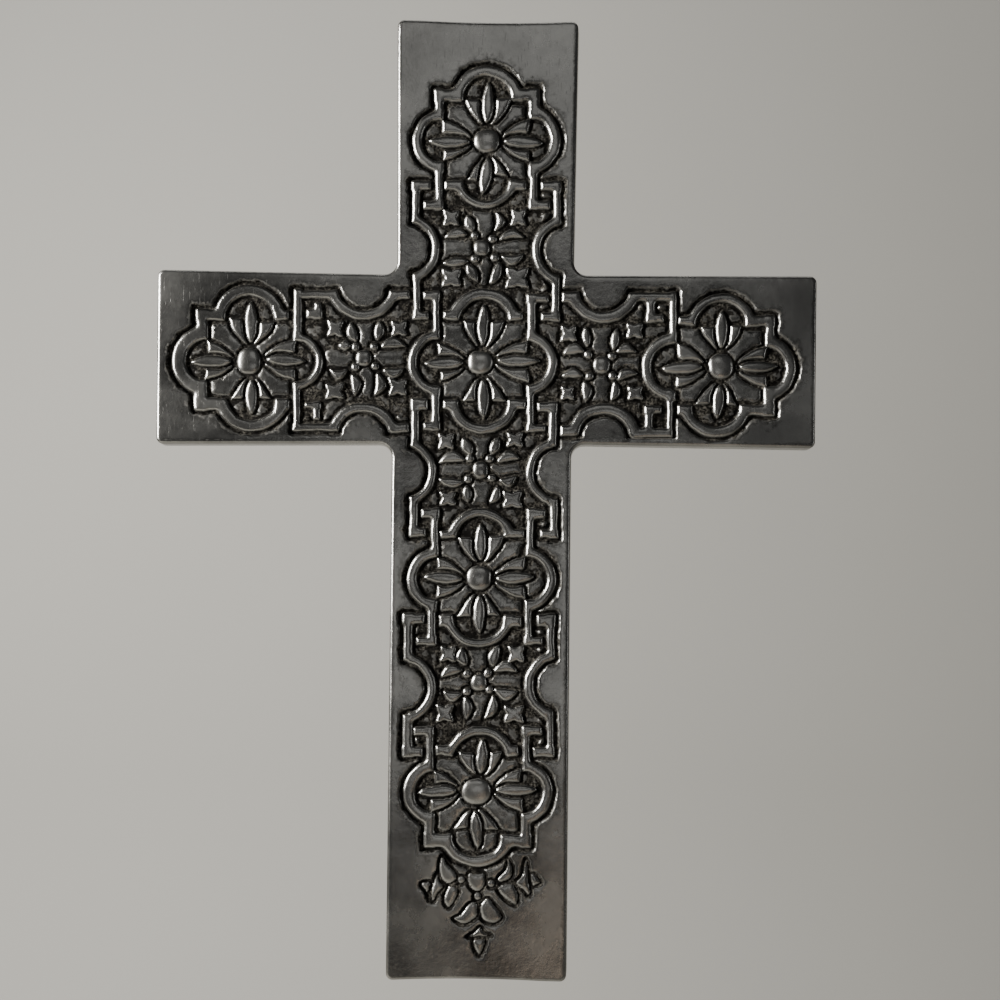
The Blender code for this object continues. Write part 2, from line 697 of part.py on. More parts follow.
class Carving:
    """Everything that is carved on the front, with the lines that its facets follow."""

    def __init__(self):
        self.places = medallion_places()
        self.straps, panel_bosses = all_straps(self.places)
        self.roofs = []
        self.domes = []
        for name, place in self.places.items():
            self.roofs += flower_roofs(name, place)
            half_width, half_height = MEDALLIONS[name].boss
            self.domes.append((place, half_width, half_height, -BOSS_RISE))
        for boss in panel_bosses:
            self.roofs += panel_roofs(boss)
            self.domes += panel_domes(boss)
        foot = self.places["foot"]
        self.spray = spray_roofs(foot)
        for across, down in SPRAY_BEADS:
            bead = (foot[0] + across, foot[1] + down)
            self.domes.append((bead, SPRAY_BEAD_RADIUS, SPRAY_BEAD_RADIUS, BEAD_TOP_DEPTH))
        self.fills = self.panel_fills(panel_bosses) + self.medallion_fills()
        self.spray_beds = [self.grown_hull(outline) for outline in self.spray]

    def medallion_fills(self):
        """The sunk ground inside each medallion: a square and a disc in each lobe."""
        fills = []
        ring = np.linspace(0, 2 * pi, 2 * ARC_STEPS, endpoint=False)
        half = MEDALLION_GROUND_REACH
        for name, (across, down) in self.places.items():
            for lobe in MEDALLIONS[name].lobes.values():
                x, y = across + lobe.across, down + lobe.down
                radius = (lobe.inside + lobe.outside) / 2
                fills.append(on_slab([(x + radius * cos(a), y + radius * sin(a)) for a in ring]))
            corners = [(-half, -half), (-half, half), (half, half), (half, -half)]
            fills.append(on_slab([(across + x, down + y) for x, y in corners]))
        return fills

    def panel_fills(self, bosses):
        """The sunk ground of each panel, up to the middle of the bands round it."""
        fills = []
        for (upper, lower, _, brackets), boss in zip(SHAFT_PANELS, bosses):
            top = self.places[upper][1] + PANEL_GROUND_START
            foot = self.places[lower][1] - PANEL_GROUND_START
            left, right = [self.bracket_curve(bracket.arc, boss) for bracket in brackets]
            outline = [(left[0][0], top), *left, (left[-1][0], foot)]
            outline += [(right[0][0], foot), *right, (right[-1][0], top)]
            fills.append(on_slab(outline))
        for (first, second, _, straps), boss in zip(ARM_PANELS, bosses[len(SHAFT_PANELS) :]):
            (_, dip), (_, rise) = straps[0].lobes
            left = self.places[first][0] + PANEL_GROUND_START
            right = self.places[second][0] - PANEL_GROUND_START
            upper = self.dip_curve(dip, boss, 1)
            under = self.dip_curve(rise, boss, -1)[::-1]
            outline = [(left, upper[0][1]), *upper, (right, upper[-1][1])]
            outline += [(right, under[0][1]), *under, (left, under[-1][1])]
            fills.append(on_slab(outline))
        return fills

    def bracket_curve(self, lobe, boss):
        """The middle of a bracket's arc: downward on the left of a panel, upward on its right."""
        radius = (lobe.inside + lobe.outside) / 2
        facing = 0 if lobe.across < 0 else 180
        angles = np.radians(np.linspace(-BRACKET_GROUND_SPREAD, BRACKET_GROUND_SPREAD, ARC_STEPS) + facing)
        centre = (boss[0] + lobe.across, boss[1] + lobe.down)
        return [(centre[0] + radius * cos(a), centre[1] + radius * sin(a)) for a in angles]

    def dip_curve(self, lobe, boss, way):
        """The edge of the ground under a band that dips into an arm's panel, from left to right."""
        radius = lobe.inside + ARM_GROUND_OVERLAP
        angles = np.radians(np.linspace(90 + ARM_PANEL_SPREAD, 90 - ARM_PANEL_SPREAD, ARC_STEPS))
        centre = (boss[0] + lobe.across, boss[1] + lobe.down)
        return [(centre[0] + radius * cos(a), centre[1] + way * radius * sin(a)) for a in angles]

    def grown_hull(self, outline):
        """The sunk bed round one leaf of the spray."""
        outline = wound(on_slab(outline))
        centre = outline.mean(axis=0)
        away = outline - centre
        length = np.hypot(*away.T)[:, None]
        return centre + away * (1 + SPRAY_GROOVE * MODULE / length)

    def sunk_outlines(self):
        pieces = [piece(BORDER_GAP) for strap in self.straps for piece in strap]
        return pieces + self.fills + self.spray_beds

    def base_height(self, points):
        """The height of the ground: level with the border outside the carving, sunk inside it."""
        gap = np.full(len(points), np.inf)
        for strap in self.straps:
            for piece in strap:
                gap = np.minimum(gap, outline_distance(points, wound(piece())) - BAND_FOOT_OUTSET)
        slope = BORDER_GAP - BAND_FOOT_OUTSET
        for fill in self.fills + self.spray_beds:
            gap = np.minimum(gap, outline_distance(points, wound(fill)) + slope)
        return np.interp(gap, [0, slope], [-FLOOR_DEPTH, 0])

    def height(self, points):
        """The front's height over the border plane, in millimetres."""
        height = self.base_height(points)
        for strap in self.straps:
            distance = np.min([outline_distance(points, wound(piece())) for piece in strap], axis=0)
            rise = np.interp(distance, [-BAND_CROWN_INSET, BAND_FOOT_OUTSET], [0, -FLOOR_DEPTH])
            height = np.where(distance < BAND_FOOT_OUTSET, np.maximum(height, rise), height)
        for outline in self.roofs + self.spray:
            distance = outline_distance(points, wound(on_slab(outline)))
            rise = np.interp(distance, [-ROOF_SLOPE_WIDTH, 0], [-PETAL_TOP_DEPTH, -FLOOR_DEPTH])
            height = np.where(distance < 0, np.maximum(height, rise), height)
        for centre, half_width, half_height, top_depth in self.domes:
            offset = (points - on_slab([centre])[0]) / MODULE / (half_width, half_height)
            out = np.clip(np.hypot(*offset.T), 0, 1)
            rise = -FLOOR_DEPTH + (FLOOR_DEPTH - top_depth) * np.sqrt(1 - out**2)
            height = np.where(out < 1, np.maximum(height, rise), height)
        return height

    def dome_lines(self):
        """Rings round each boss and bead, and the points at their tops."""
        edges = []
        tops = []
        for centre, half_width, half_height, _ in self.domes:
            large = half_width > PANEL_BOSS
            sides = BOSS_SIDES if half_width >= PANEL_BOSS else BEAD_SIDES
            for share in (1.0, DOME_RING_SHARE) if large else (1.0,):
                angles = np.linspace(0, 2 * pi, sides, endpoint=False)
                ring = [
                    (centre[0] + half_width * share * cos(a), centre[1] + half_height * share * sin(a))
                    for a in angles
                ]
                edges += closed_edges(on_slab(ring))
            tops.append(tuple(on_slab([centre])[0]))
        return edges, tops

    def facet_lines(self):
        """The edges and single points that the front's triangles have to follow."""
        edges = merged_edges(self.sunk_outlines())
        for strap in self.straps:
            edges += merged_edges([piece(BAND_FOOT_OUTSET) for piece in strap])
            edges += merged_edges([piece(-BAND_CROWN_INSET) for piece in strap])
        for outline in self.roofs + self.spray:
            foot = wound(on_slab(outline))
            edges += closed_edges(foot) + closed_edges(moved_in(foot, ROOF_SLOPE_WIDTH))
        dome_edges, tops = self.dome_lines()
        return edges + dome_edges, tops


def flat_triangles(outline, edges=(), tops=(), hole=()):
    """Triangles that fill an outline and follow the given lines. A hole's inside is left out."""
    points = [Vector(p) for p in outline]
    faces = [list(range(len(points)))]
    if len(hole):
        faces.append(list(range(len(points), len(points) + len(hole))))
        points += [Vector(p) for p in hole]
    lines = []
    for start, end in edges:
        lines.append((len(points), len(points) + 1))
        points += [Vector(start), Vector(end)]
    points += [Vector(p) for p in tops]
    found, _, triangles, sources, _, owners = delaunay_2d_cdt(points, lines, faces, 0, MERGE)
    kept = [tuple(t) for t, owner in zip(triangles, owners) if list(owner) == [0]]
    return np.array([tuple(p) for p in found]), kept, [min(s) if s else None for s in sources]


def boundary_loop(triangles):
    """The vertices round a patch of triangles, in order. The patch has one outer edge."""
    ends = {(t[i - 1], t[i]) for t in triangles for i in range(3)}
    following = {a: b for a, b in ends if (b, a) not in ends}
    loop = [next(iter(following))]
    while following[loop[-1]] != loop[0]:
        loop.append(following[loop[-1]])
    return loop


def edge_rings():
    """The insets and depths of the rings that run from the flat front round the edge to the back."""
    rings = []
    for step in range(1, EDGE_STEPS + 1):
        angle = pi / 2 * step / EDGE_STEPS
        rings.append((SIDE_DRAFT + EDGE_RADIUS * (1 - sin(angle)), EDGE_RADIUS * (1 - cos(angle))))
    rings.append((0.0, THICKNESS - BACK_CHAMFER))
    rings.append((BACK_CHAMFER, THICKNESS))
    return rings


def matching_ring(loop, front, outline):
    """Points on an outline that stand opposite the points of the front's edge."""
    starts = np.array(front, float)
    ends = np.roll(starts, -1, axis=0)
    target = np.array(outline, float)
    target_ends = np.roll(target, -1, axis=0)
    ring = []
    for point in loop:
        edge = ends - starts
        share = np.clip(np.sum((point - starts) * edge, axis=1) / np.sum(edge * edge, axis=1), 0, 1)
        off = np.hypot(*(starts + share[:, None] * edge - point).T)
        i = int(np.argmin(off))
        ring.append(target[i] + (target_ends[i] - target[i]) * share[i])
    return ring


def build_cross():
    """The whole casting as one closed mesh."""
    carving = Carving()
    front = slab_outline(EDGE_RADIUS + SIDE_DRAFT)
    edges, tops = carving.facet_lines()
    flat, triangles, _ = flat_triangles(front, edges, tops)
    used = sorted({i for t in triangles for i in t})
    renumber = {old: new for new, old in enumerate(used)}
    flat = flat[used]
    triangles = [tuple(renumber[i] for i in t) for t in triangles]
    loop = boundary_loop(triangles)
    depth = THICKNESS + carving.height(flat)
    depth[loop] = THICKNESS
    vertices = [(x, -d, z) for (x, z), d in zip(flat, depth)]
    faces = [tuple(t) for t in triangles]
    previous = loop
    for inset, down in edge_rings():
        ring = matching_ring(flat[loop], front, slab_outline(inset))
        current = list(range(len(vertices), len(vertices) + len(ring)))
        vertices += [(x, down - THICKNESS, z) for x, z in ring]
        for i in range(len(ring)):
            faces.append((previous[i], previous[i - 1], current[i - 1], current[i]))
        previous = current
    add_back(vertices, faces, previous)
    return make_object("cross", vertices, faces)


def add_back(vertices, faces, rim):
    """The plain back, with the nail pocket sunk into it."""
    top = HEAD.reach - POCKET_BELOW_TOP
    angles = np.linspace(0, 2 * pi, POCKET_SIDES, endpoint=False)
    pocket = [(HEAD.sideways + POCKET_RADIUS * cos(a), top + POCKET_RADIUS * sin(a)) for a in angles]
    edge = [(vertices[i][0], vertices[i][2]) for i in rim]
    _, triangles, sources = flat_triangles(edge, hole=pocket)
    mouth = list(range(len(vertices), len(vertices) + len(pocket)))
    floor = list(range(mouth[-1] + 1, mouth[-1] + 1 + len(pocket)))
    vertices += [(x, 0.0, z) for x, z in pocket] + [(x, -POCKET_DEPTH, z) for x, z in pocket]
    numbers = list(rim) + mouth
    faces += [tuple(numbers[sources[i]] for i in t[::-1]) for t in triangles]
    for i in range(len(pocket)):
        faces.append((mouth[i], mouth[i - 1], floor[i - 1], floor[i]))
    faces.append(tuple(floor[::-1]))


def make_object(name, vertices, faces):
    mesh = bpy.data.meshes.new(name)
    mesh.from_pydata([Vector(v) * MM for v in vertices], [], faces)
    mesh.validate()
    mesh.update()
    thing = bpy.data.objects.new(name, mesh)
    bpy.context.scene.collection.objects.link(thing)
    return thing


def cast_aluminium():
    material = bpy.data.materials.new("cast_aluminium")
    material.use_nodes = True
    shader = material.node_tree.nodes["Principled BSDF"]
    shader.inputs["Base Color"].default_value = ALUMINIUM_COLOUR
    shader.inputs["Metallic"].default_value = 1.0
    shader.inputs["Roughness"].default_value = ALUMINIUM_ROUGHNESS
    return material


def main():
    clear_scene()
    cross = build_cross()
    cross.data.materials.append(cast_aluminium())


main()
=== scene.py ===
"""The cast aluminium wall cross, dressed: fine relief, finished sides and back, light and camera.

The carving is drawn in modules, across to the right and down, from the boss of each motif.
One module is 0.3 mm. Sizes of the slab are in millimetres.
"""

from collections import namedtuple
from math import atan, ceil, cos, hypot, pi, radians, sin

import bpy
import numpy as np
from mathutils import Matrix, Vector
from mathutils.geometry import delaunay_2d_cdt

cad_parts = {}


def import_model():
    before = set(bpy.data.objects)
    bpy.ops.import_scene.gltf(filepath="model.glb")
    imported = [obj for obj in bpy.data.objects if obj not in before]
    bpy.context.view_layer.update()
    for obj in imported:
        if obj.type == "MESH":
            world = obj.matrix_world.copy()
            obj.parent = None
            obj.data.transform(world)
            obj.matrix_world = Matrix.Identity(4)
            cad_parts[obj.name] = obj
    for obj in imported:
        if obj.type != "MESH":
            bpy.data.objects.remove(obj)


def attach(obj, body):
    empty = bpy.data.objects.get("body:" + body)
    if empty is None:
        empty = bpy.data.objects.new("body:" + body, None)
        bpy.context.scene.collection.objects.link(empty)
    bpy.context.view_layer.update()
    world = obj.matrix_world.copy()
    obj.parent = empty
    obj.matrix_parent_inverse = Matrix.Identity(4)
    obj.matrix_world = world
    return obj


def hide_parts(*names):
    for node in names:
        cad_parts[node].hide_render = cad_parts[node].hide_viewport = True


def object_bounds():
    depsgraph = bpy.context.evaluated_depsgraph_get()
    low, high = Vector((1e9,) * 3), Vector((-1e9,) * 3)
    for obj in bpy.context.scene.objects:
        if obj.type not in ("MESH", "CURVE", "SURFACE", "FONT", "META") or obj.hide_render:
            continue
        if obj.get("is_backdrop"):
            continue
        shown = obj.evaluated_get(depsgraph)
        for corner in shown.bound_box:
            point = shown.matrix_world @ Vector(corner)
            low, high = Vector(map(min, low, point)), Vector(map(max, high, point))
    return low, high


MM = 0.001

# The slab, as in the solid.
Limb = namedtuple("Limb", "reach root_width end_width sideways bow")
HEAD = Limb(103.1, 53.8, 55.2, 1.4, 0.6)
LEFT_ARM = Limb(97.5, 51.6, 53.2, 0.7, 0.0)
FOOT = Limb(186.4, 54.6, 55.1, 0.7, 0.6)
RIGHT_ARM = Limb(101.4, 51.6, 52.6, 1.0, 0.0)
ROOT_AT = 27.0
THICKNESS = 5.4
EDGE_RADIUS = 1.1
SIDE_DRAFT = 0.4
BACK_CHAMFER = 0.35
CORNER_RADIUS = 2.4
INNER_RADIUS = 3.6
LEAST_RADIUS = 0.5
POCKET_RADIUS = 3.0
POCKET_DEPTH = 2.6
POCKET_BELOW_TOP = 24.0
MODULES_ACROSS = 172
MODULE = (FOOT.root_width - 2 * (EDGE_RADIUS + SIDE_DRAFT)) / MODULES_ACROSS
DRAWING_TILT = radians(0.6)

# Mesh: the front's cells are squares of 1, 2, 4 or 8 steps, small where the carving has an edge.
CELL_STEP = 1.24  # modules
LARGEST_CELL = 8
RIM_CELL = 2
HALF_DIAGONAL = 0.71  # of a cell, as a share of its side
FINE_REACH = {8: 2.0, 4: 0.5, 2: -0.1}  # how far past its corners a cell looks for an edge, in steps
SNAP_REACH = 0.43  # modules that a point may move onto a crease
LEAST_SLOPE = 0.5
MARGIN = 0.8  # steps left free at the outline
CORNER_STEPS = 6
EDGE_STEPS = 5
SIDE_STEPS = 3
SEGMENT = 2.2
POCKET_SIDES = 40

# Heights over the border plane are in millimetres, and widths and distances in modules.
GROOVE_DEPTH = 1.05
BAND_SHOULDER = -1.45
BAND_FOOT = 0.95
BAND_PROFILE = (
    [-4.5, -3.2, -2.3, BAND_SHOULDER, -0.7, 0.1, BAND_FOOT],
    [0.03, 0.0, -0.06, -0.19, -0.42, -0.78, -GROOVE_DEPTH],
)
BAND_UNEVEN = 0.03
BAR_ROUNDING = 1.0
FILLET = 4.0
BAND_GAP = 4.6
WALL_WIDTH = 2.6
GROOVE_REACH = (1.3, 3.4)
MEDALLION_GROUND = -0.4
PANEL_GROUND = -0.46
HOLLOW_GROUND = -0.7
PLATE = (-39, -40, 40, 40)
# Darkness by depth below the border plane: oxide in the recesses and painted shade, near black in the
# grooves.
OXIDE_AND_SHADE_BY_DEPTH = ([0.16, 0.36, 0.55, 0.74, 0.92], [0.0, 0.2, 0.4, 0.8, 1.0])
# Painted shade on the edges that face right and down, away from the key light.
EDGE_PAINTED_SHADE = (0.4, -0.4)
LUNE_PLATES = [("foot", (-20, 36, 22, 74)), ("shaft", (48, 2, 76, 24))]
PANEL_PLATES = [(-9, -36, 9, 36), (-38, -7, 38, 7)]
PETAL_WIDTH = 12.5
PETAL_FULLNESS = 0.45
PETAL_GAP = 1.7
PETAL_ROOM = 20  # a middle petal that ends lower than this points down
CURL = 0.14
LOWER_CURL = 0.05
DOME_SQUARENESS = 2.3
DOME_BLUNT = 2.2
BOSS_TOP = 0.35
PANEL_BOSS_TOP = 0.12
BEAD_TOP = -0.12
MEDALLION_FILL = (-46, -46, 46, 46)
FILL_OVERLAP = 44
SHAFT_FILL = 62
ARM_FILL = (58, 62)
CUT_INSET = 2

# How a raised shape is rounded: the width of its rounding, its top and how blunt it is.
PETAL = (4.6, 0.0, 2.0)
FLARED_PETAL = (4.2, 0.0, 2.1)
LEAF = (4.4, -0.05, 2.0)
STAR = (3.4, -0.1, 2.6)
SPRAY_MIDDLE = (5.0, 0.0, 2.2)

# How far from a shape its distance is worked out, and the distance given where there is none.
BAND_SEARCH = 12
MOTIF_SEARCH = 10
FAR = 40.0

Lobe = namedtuple("Lobe", "facing across down inside outside spread")
Medallion = namedtuple("Medallion", "place boss straps petals")
Panel = namedtuple("Panel", "place boss straps beads leaves stars")
FACING = {"right": 0, "up": 90, "left": 180, "down": 270}

# A strap is the lobes and bars that join up. A lobe is an arc that spreads by so many degrees to both sides
# of the way it faces, and a bar is two opposite corners. Each petal group is the start and end of its middle
# petal, then the tips of the two flared petals beside it.
MEDALLIONS = {
    "head": Medallion((7, -222), (13, 12), [
        ([Lobe("up", 0, -40.5, 24, 35, 90), Lobe("left", -44, 0, 21.5, 31, 90),
          Lobe("right", 38, -1, 25.5, 36, 82)],
         [(-52, -52, -44, -21), (-52, -52, -26, -40), (26, -52, 52.5, -40), (42, -52, 52.5, -21),
          (-52, 21, -44.5, 69), (-64, 60, -44.5, 69), (43, 21, 51, 69), (43, 60, 64, 69)]),
        ([Lobe("down", -1, 36, 24, 31.5, 80)], [(-43.5, 40, -24, 50), (22, 40, 40, 50)]),
    ], [
        ((0, -18), (2, -60), (-22.5, -42), (25, -43)),
        ((-17, 1), (-60, 1), (-45, -21.5), (-44, 20)),
        ((17, 0), (57, 2), (43, -22), (43, 21)),
        ((1, 17), (-4, 55), (-20, 39), (22, 37)),
    ]),
    "centre": Medallion((0, 0), (12.5, 12), [
        ([Lobe("up", 4, -37, 26, 37, 80)], [(-37, -51, -25, -43), (30, -50, 43, -42.5)]),
        ([Lobe("left", -39, 0.5, 24, 33, 86)],
         [(-47, -71, -40.5, -24), (-57, -71, -40.5, -63), (-48.5, 25, -40.5, 68), (-57, 60, -40.5, 68)]),
        ([Lobe("right", 45, 1, 23, 32, 84)],
         [(47.5, -68, 56, -24), (47.5, -68, 69, -60), (47, 23, 54, 70), (47, 63, 66, 70)]),
        ([Lobe("down", 3, 37, 25.5, 35, 86)], [(-37, 38, -23, 47), (28, 38, 46, 47)]),
    ], [
        ((2, -17), (4, -59), (-17, -42), (25, -41)),
        ((-17, 1), (-56, 1), (-42, -20), (-40, 19)),
        ((17, -1), (61, -1), (48, -22), (49, 21)),
        ((3, 17), (4, 58), (-18, 40), (27, 40)),
    ]),
    "shaft": Medallion((-0.5, 216), (12.5, 12.5), [
        ([Lobe("up", 1.5, -36, 25, 34, 80)], [(-39.5, -48, -25, -40), (25, -48, 45.5, -40)]),
        ([Lobe("left", -41, 1, 21.5, 32, 87)],
         [(-48.5, -69, -41, -22), (-58.5, -69, -41, -60), (-51.5, 22, -43.5, 67), (-63.5, 59, -43.5, 67)]),
        ([Lobe("right", 45.5, 1, 22.5, 32, 86)],
         [(47.5, -69, 54.5, -22), (47.5, -69, 66.5, -59), (45.5, 22, 52.5, 67), (45.5, 59, 63.5, 67)]),
        ([Lobe("down", -1, 35, 26.5, 35, 86)], [(-40.5, 38, -27, 49), (24, 38, 42.5, 49)]),
    ], [
        ((0.5, -17), (1.5, -55), (-21.5, -41), (25.5, -42)),
        ((-17, 1), (-57, -1), (-42, -21), (-43.5, 21)),
        ((17, 1), (56, -1), (45.5, -22), (46.5, 22)),
        ((-0.5, 17), (-0.5, 57), (-22.5, 39), (20.5, 38)),
    ]),
    "foot": Medallion((-3.5, 430.5), (14.5, 13), [
        ([Lobe("left", -41.5, 0.5, 20.5, 32.5, 85), Lobe("right", 44, 0.5, 22, 32.5, 84),
          Lobe("down", 0.5, 36.5, 28, 39, 78)],
         [(-50.5, -65.5, -43.5, -22.5), (-63.5, -65.5, -43.5, -56.5), (46.5, -65.5, 53.5, -22.5),
          (46.5, -65.5, 65.5, -56.5), (-52.5, 22, -42.5, 55.5), (-52.5, 42, -24, 55.5),
          (44.5, 22, 54.5, 55.5), (24, 43, 54.5, 55.5)]),
        ([Lobe("up", 4, -28.5, 28, 37, 78)], [(-41.5, -46.5, -28, -36.5), (30, -46.5, 42.5, -36.5)]),
    ], [
        ((4.5, -18), (6.5, -54), (-18.5, -40.5), (26.5, -40.5)),
        ((-19.5, -1.5), (-60, 0.5), (-42.5, -21.5), (-45.5, 20.5)),
        ((19.5, -2.5), (61, -1.5), (44.5, -23.5), (46.5, 20.5)),
        ((-1.5, 19), (1.5, 58), (-24.5, 38), (23.5, 38)),
    ]),
    "left": Medallion((-231.5, -1), (12, 13.5), [
        ([Lobe("up", 0.5, -40, 25, 37, 86), Lobe("left", -42.5, -1, 21, 35, 90),
          Lobe("down", 3.5, 33.5, 25.5, 37.5, 80)],
         [(-52.5, -52, -41.5, -22), (-52.5, -52, -25, -41), (-54.5, 20, -42.5, 49), (-54.5, 37, -24, 49),
          (28, -51, 40.5, -42), (26, 37, 40.5, 48)]),
        ([Lobe("right", 45.5, 0, 21.5, 28.5, 88)], [(45, -73, 53.5, -22), (44.5, 22, 51.5, 69)]),
    ], [
        ((1.5, -18), (2.5, -61), (-20.5, -44), (25.5, -40)),
        ((-17.5, 0), (-60, 0), (-41.5, -21), (-43.5, 19)),
        ((17.5, -2), (57.5, 0), (47.5, -22), (46.5, 20)),
        ((2.5, 18), (2.5, 54), (-18.5, 38), (22.5, 38)),
    ]),
    "right": Medallion((241.5, 4), (12.5, 13), [
        ([Lobe("up", 0.5, -38, 26, 35, 84), Lobe("right", 42.5, 2, 22, 33, 85),
          Lobe("down", -5.5, 36, 25, 36, 82)],
         [(44.5, -51, 53.5, -22), (25, -51, 53.5, -40), (42.5, 20, 53.5, 50), (20, 39, 53.5, 50),
          (-43.5, -50, -27, -41), (-44.5, 39, -29, 49)]),
        ([Lobe("left", -45.5, 1, 24, 34, 90)], [(-51.5, -75, -44.5, -24), (-54.5, 24, -48.5, 72)]),
    ], [
        ((0.5, -18), (1.5, -57), (-20.5, -40), (21.5, -41)),
        ((-18.5, 1), (-61, 3), (-44.5, -24), (-45.5, 22)),
        ((18.5, 1), (58, 0), (45.5, -21), (46.5, 22)),
        ((-1.5, 18), (-4.5, 54), (-26.5, 38), (16.5, 40)),
    ]),
}

# Brackets beside the shaft's panels: the two medallions, the hooks from each, the widths of the two posts,
# and where the arc stands from the panel's boss, with its two radii.
BRACKETS = [
    ("head", "centre", "over", (-75, 40, -56, 49), 7.5, (-77, 0.5, 27, 35), 7, (-66.5, -51, -51, -43)),
    ("head", "centre", "over", (74.5, 41, 54, 50), 7.5, (85, 2.5, 26.5, 35), 8, (80, -49, 61, -41)),
    ("centre", "shaft", "middle", (-69, 37, -52, 48), 8, (-79, 2, 26, 34), 8.5, (-70, -50, -53.5, -41)),
    ("centre", "shaft", "middle", (77, 40, 57, 50), 8, (79, 2, 26, 34), 8, (78.5, -48, 60.5, -40)),
    ("shaft", "foot", "under", (-76.5, 36, -54.5, 46), 9.5, (-78.5, 5, 27, 36), 10, (-74, -45, -54, -35)),
    ("shaft", "foot", "under", (75.5, 37, 57.5, 49), 8, (80.5, 3, 25.5, 35), 7, (77.5, -45, 56.5, -35)),
]
BRACKET_SPREAD = 72
POST_GAP = 1.0

# Panels between the medallions. A leaf is start, end, width and how far its middle bends to its right.
PANELS = {
    "over": Panel((2, -114.5), (8.5, 8.5), [], [(-7, -12.5), (11, -9), (-7, 11), (12.5, 10)], [
        ((-9.5, -16), (-15, -34), 11.5, 0), ((12.5, -16.5), (12, -38), 9.5, -6.5),
        ((-14, -13.5), (-38, -10), 10.5, -3.5), ((17, -7.5), (44, -9), 10, 6),
        ((-13.5, 13), (-40, 15), 10.5, 0), ((18, 9), (43, 5), 11, -6), ((-15, 16), (-4, 35), 11, 0),
        ((17, 14.5), (7.5, 37), 11, 2),
    ], [(-40, -39, -22, -22), (28, -39.5, 45, -21.5), (-41, 19.5, -20, 40), (23, 18.5, 48, 41)]),
    "middle": Panel((1, 108), (8, 9), [], [(-10.5, -11), (9, -11), (-13, 9), (11, 8)], [
        ((-10, -14.5), (-18, -33), 12, 0), ((10, -15.5), (18.5, -33), 11.5, 0),
        ((-15, -9.5), (-43, -7), 12, -5), ((16.5, -8.5), (40, -11), 11.5, 4),
        ((-17, 12), (-43, 8), 10.5, 3), ((18, 10.5), (37, 5), 12, -5), ((-14, 15), (-14, 34), 10.5, 0),
        ((17, 16), (8, 34), 10.5, 2.5),
    ], [(-44, -38, -26, -20), (25, -39, 43, -22), (-42, 21, -25, 37), (21, 20, 42, 39)]),
    "under": Panel((-1.5, 321), (8, 9), [], [(-11.5, -9), (9.5, -9), (-11.5, 9), (11, 7)], [
        ((-13, -17), (-17.5, -36.5), 12, 2), ((14, -15), (21, -38.5), 12, 2),
        ((-16, -14), (-38.5, -4.5), 11.5, -3), ((15, -11), (40, -10), 11.5, 6),
        ((-16, 11.5), (-36, 8), 11, 5), ((16, 7), (40, 8), 12.5, -5), ((-13, 14), (-12, 38), 10.5, 2),
        ((15, 13), (5, 38), 11, 4),
    ], [(-39, -38, -21.5, -20), (29, -38, 46.5, -20), (-43, 21, -24.5, 41), (25, 22, 46, 41)]),
    "west": Panel((-116.5, -4.5), (8.5, 8.5), [
        ([Lobe("down", -0.5, -74.5, 27, 37, 76)], [(-70, -67.5, -28, -59.5), (26, -67.5, 46.5, -58.5)]),
        ([Lobe("up", -0.5, 80.5, 26, 36, 76)], [(-71.5, 65.5, -30, 73.5), (27, 65.5, 45.5, 75.5)]),
        ([], [(-49.5, -55.5, -42.5, -39.5), (-57.5, -48.5, -42.5, -39.5)]),
        ([], [(-50.5, 44.5, -43.5, 62.5), (-59.5, 44.5, -43.5, 50.5)]),
    ], [(-8.5, -11), (10.5, -11.5), (-8.5, 9.5), (11.5, 8.5)], [
        ((-8, -16), (-13.5, -37), 11.5, 2), ((13.5, -17.5), (16, -38), 11, -1),
        ((-13, -12.5), (-26, -13), 11, 0), ((17, -12), (43, -11), 12, 4), ((-16, 12.5), (-35, 11), 11, 6),
        ((19, 12.5), (41, 10), 11, -4), ((-12, 16), (-9, 39), 11.5, 3), ((14, 15), (10, 39), 12, 5),
    ], [(-37, -38, -20.5, -20.5), (27, -38, 44, -21), (-39, 25, -19, 42), (24, 19.5, 44, 39)]),
    "east": Panel((122, 3), (9, 9), [
        ([Lobe("down", 2, -79, 26, 37, 76)],
         [(30, -73, 74, -64), (-40, -74, -23, -63), (45, -65, 54, -43), (45, -51, 62, -43)]),
        ([Lobe("up", 2, 75, 26, 37, 80)],
         [(-42, 60, -26, 71), (29, 63, 71, 73), (43, 41, 51, 65), (43, 41, 60, 48)]),
    ], [(-13, -10.5), (10.5, -9), (-12, 11), (11, 11)], [
        ((-14, -18), (-16, -40), 9.5, 0), ((11, -15), (15.5, -38.5), 9.5, 0),
        ((-17, -14), (-40, -11), 11.5, -4), ((14, -14), (36, -13), 11, 4), ((-18, 10), (-41, 11), 10.5, -3),
        ((15, 15), (37, 8), 10.5, 4), ((-17, 15), (-16, 38.5), 10.5, 2), ((13, 16), (9, 37), 10.5, 3),
    ], [(-42, -41, -24, -23), (24, -43, 42, -26), (-42, 20, -27, 36), (25, 20, 42, 36)]),
}
BEAD_RADIUS = 4.4

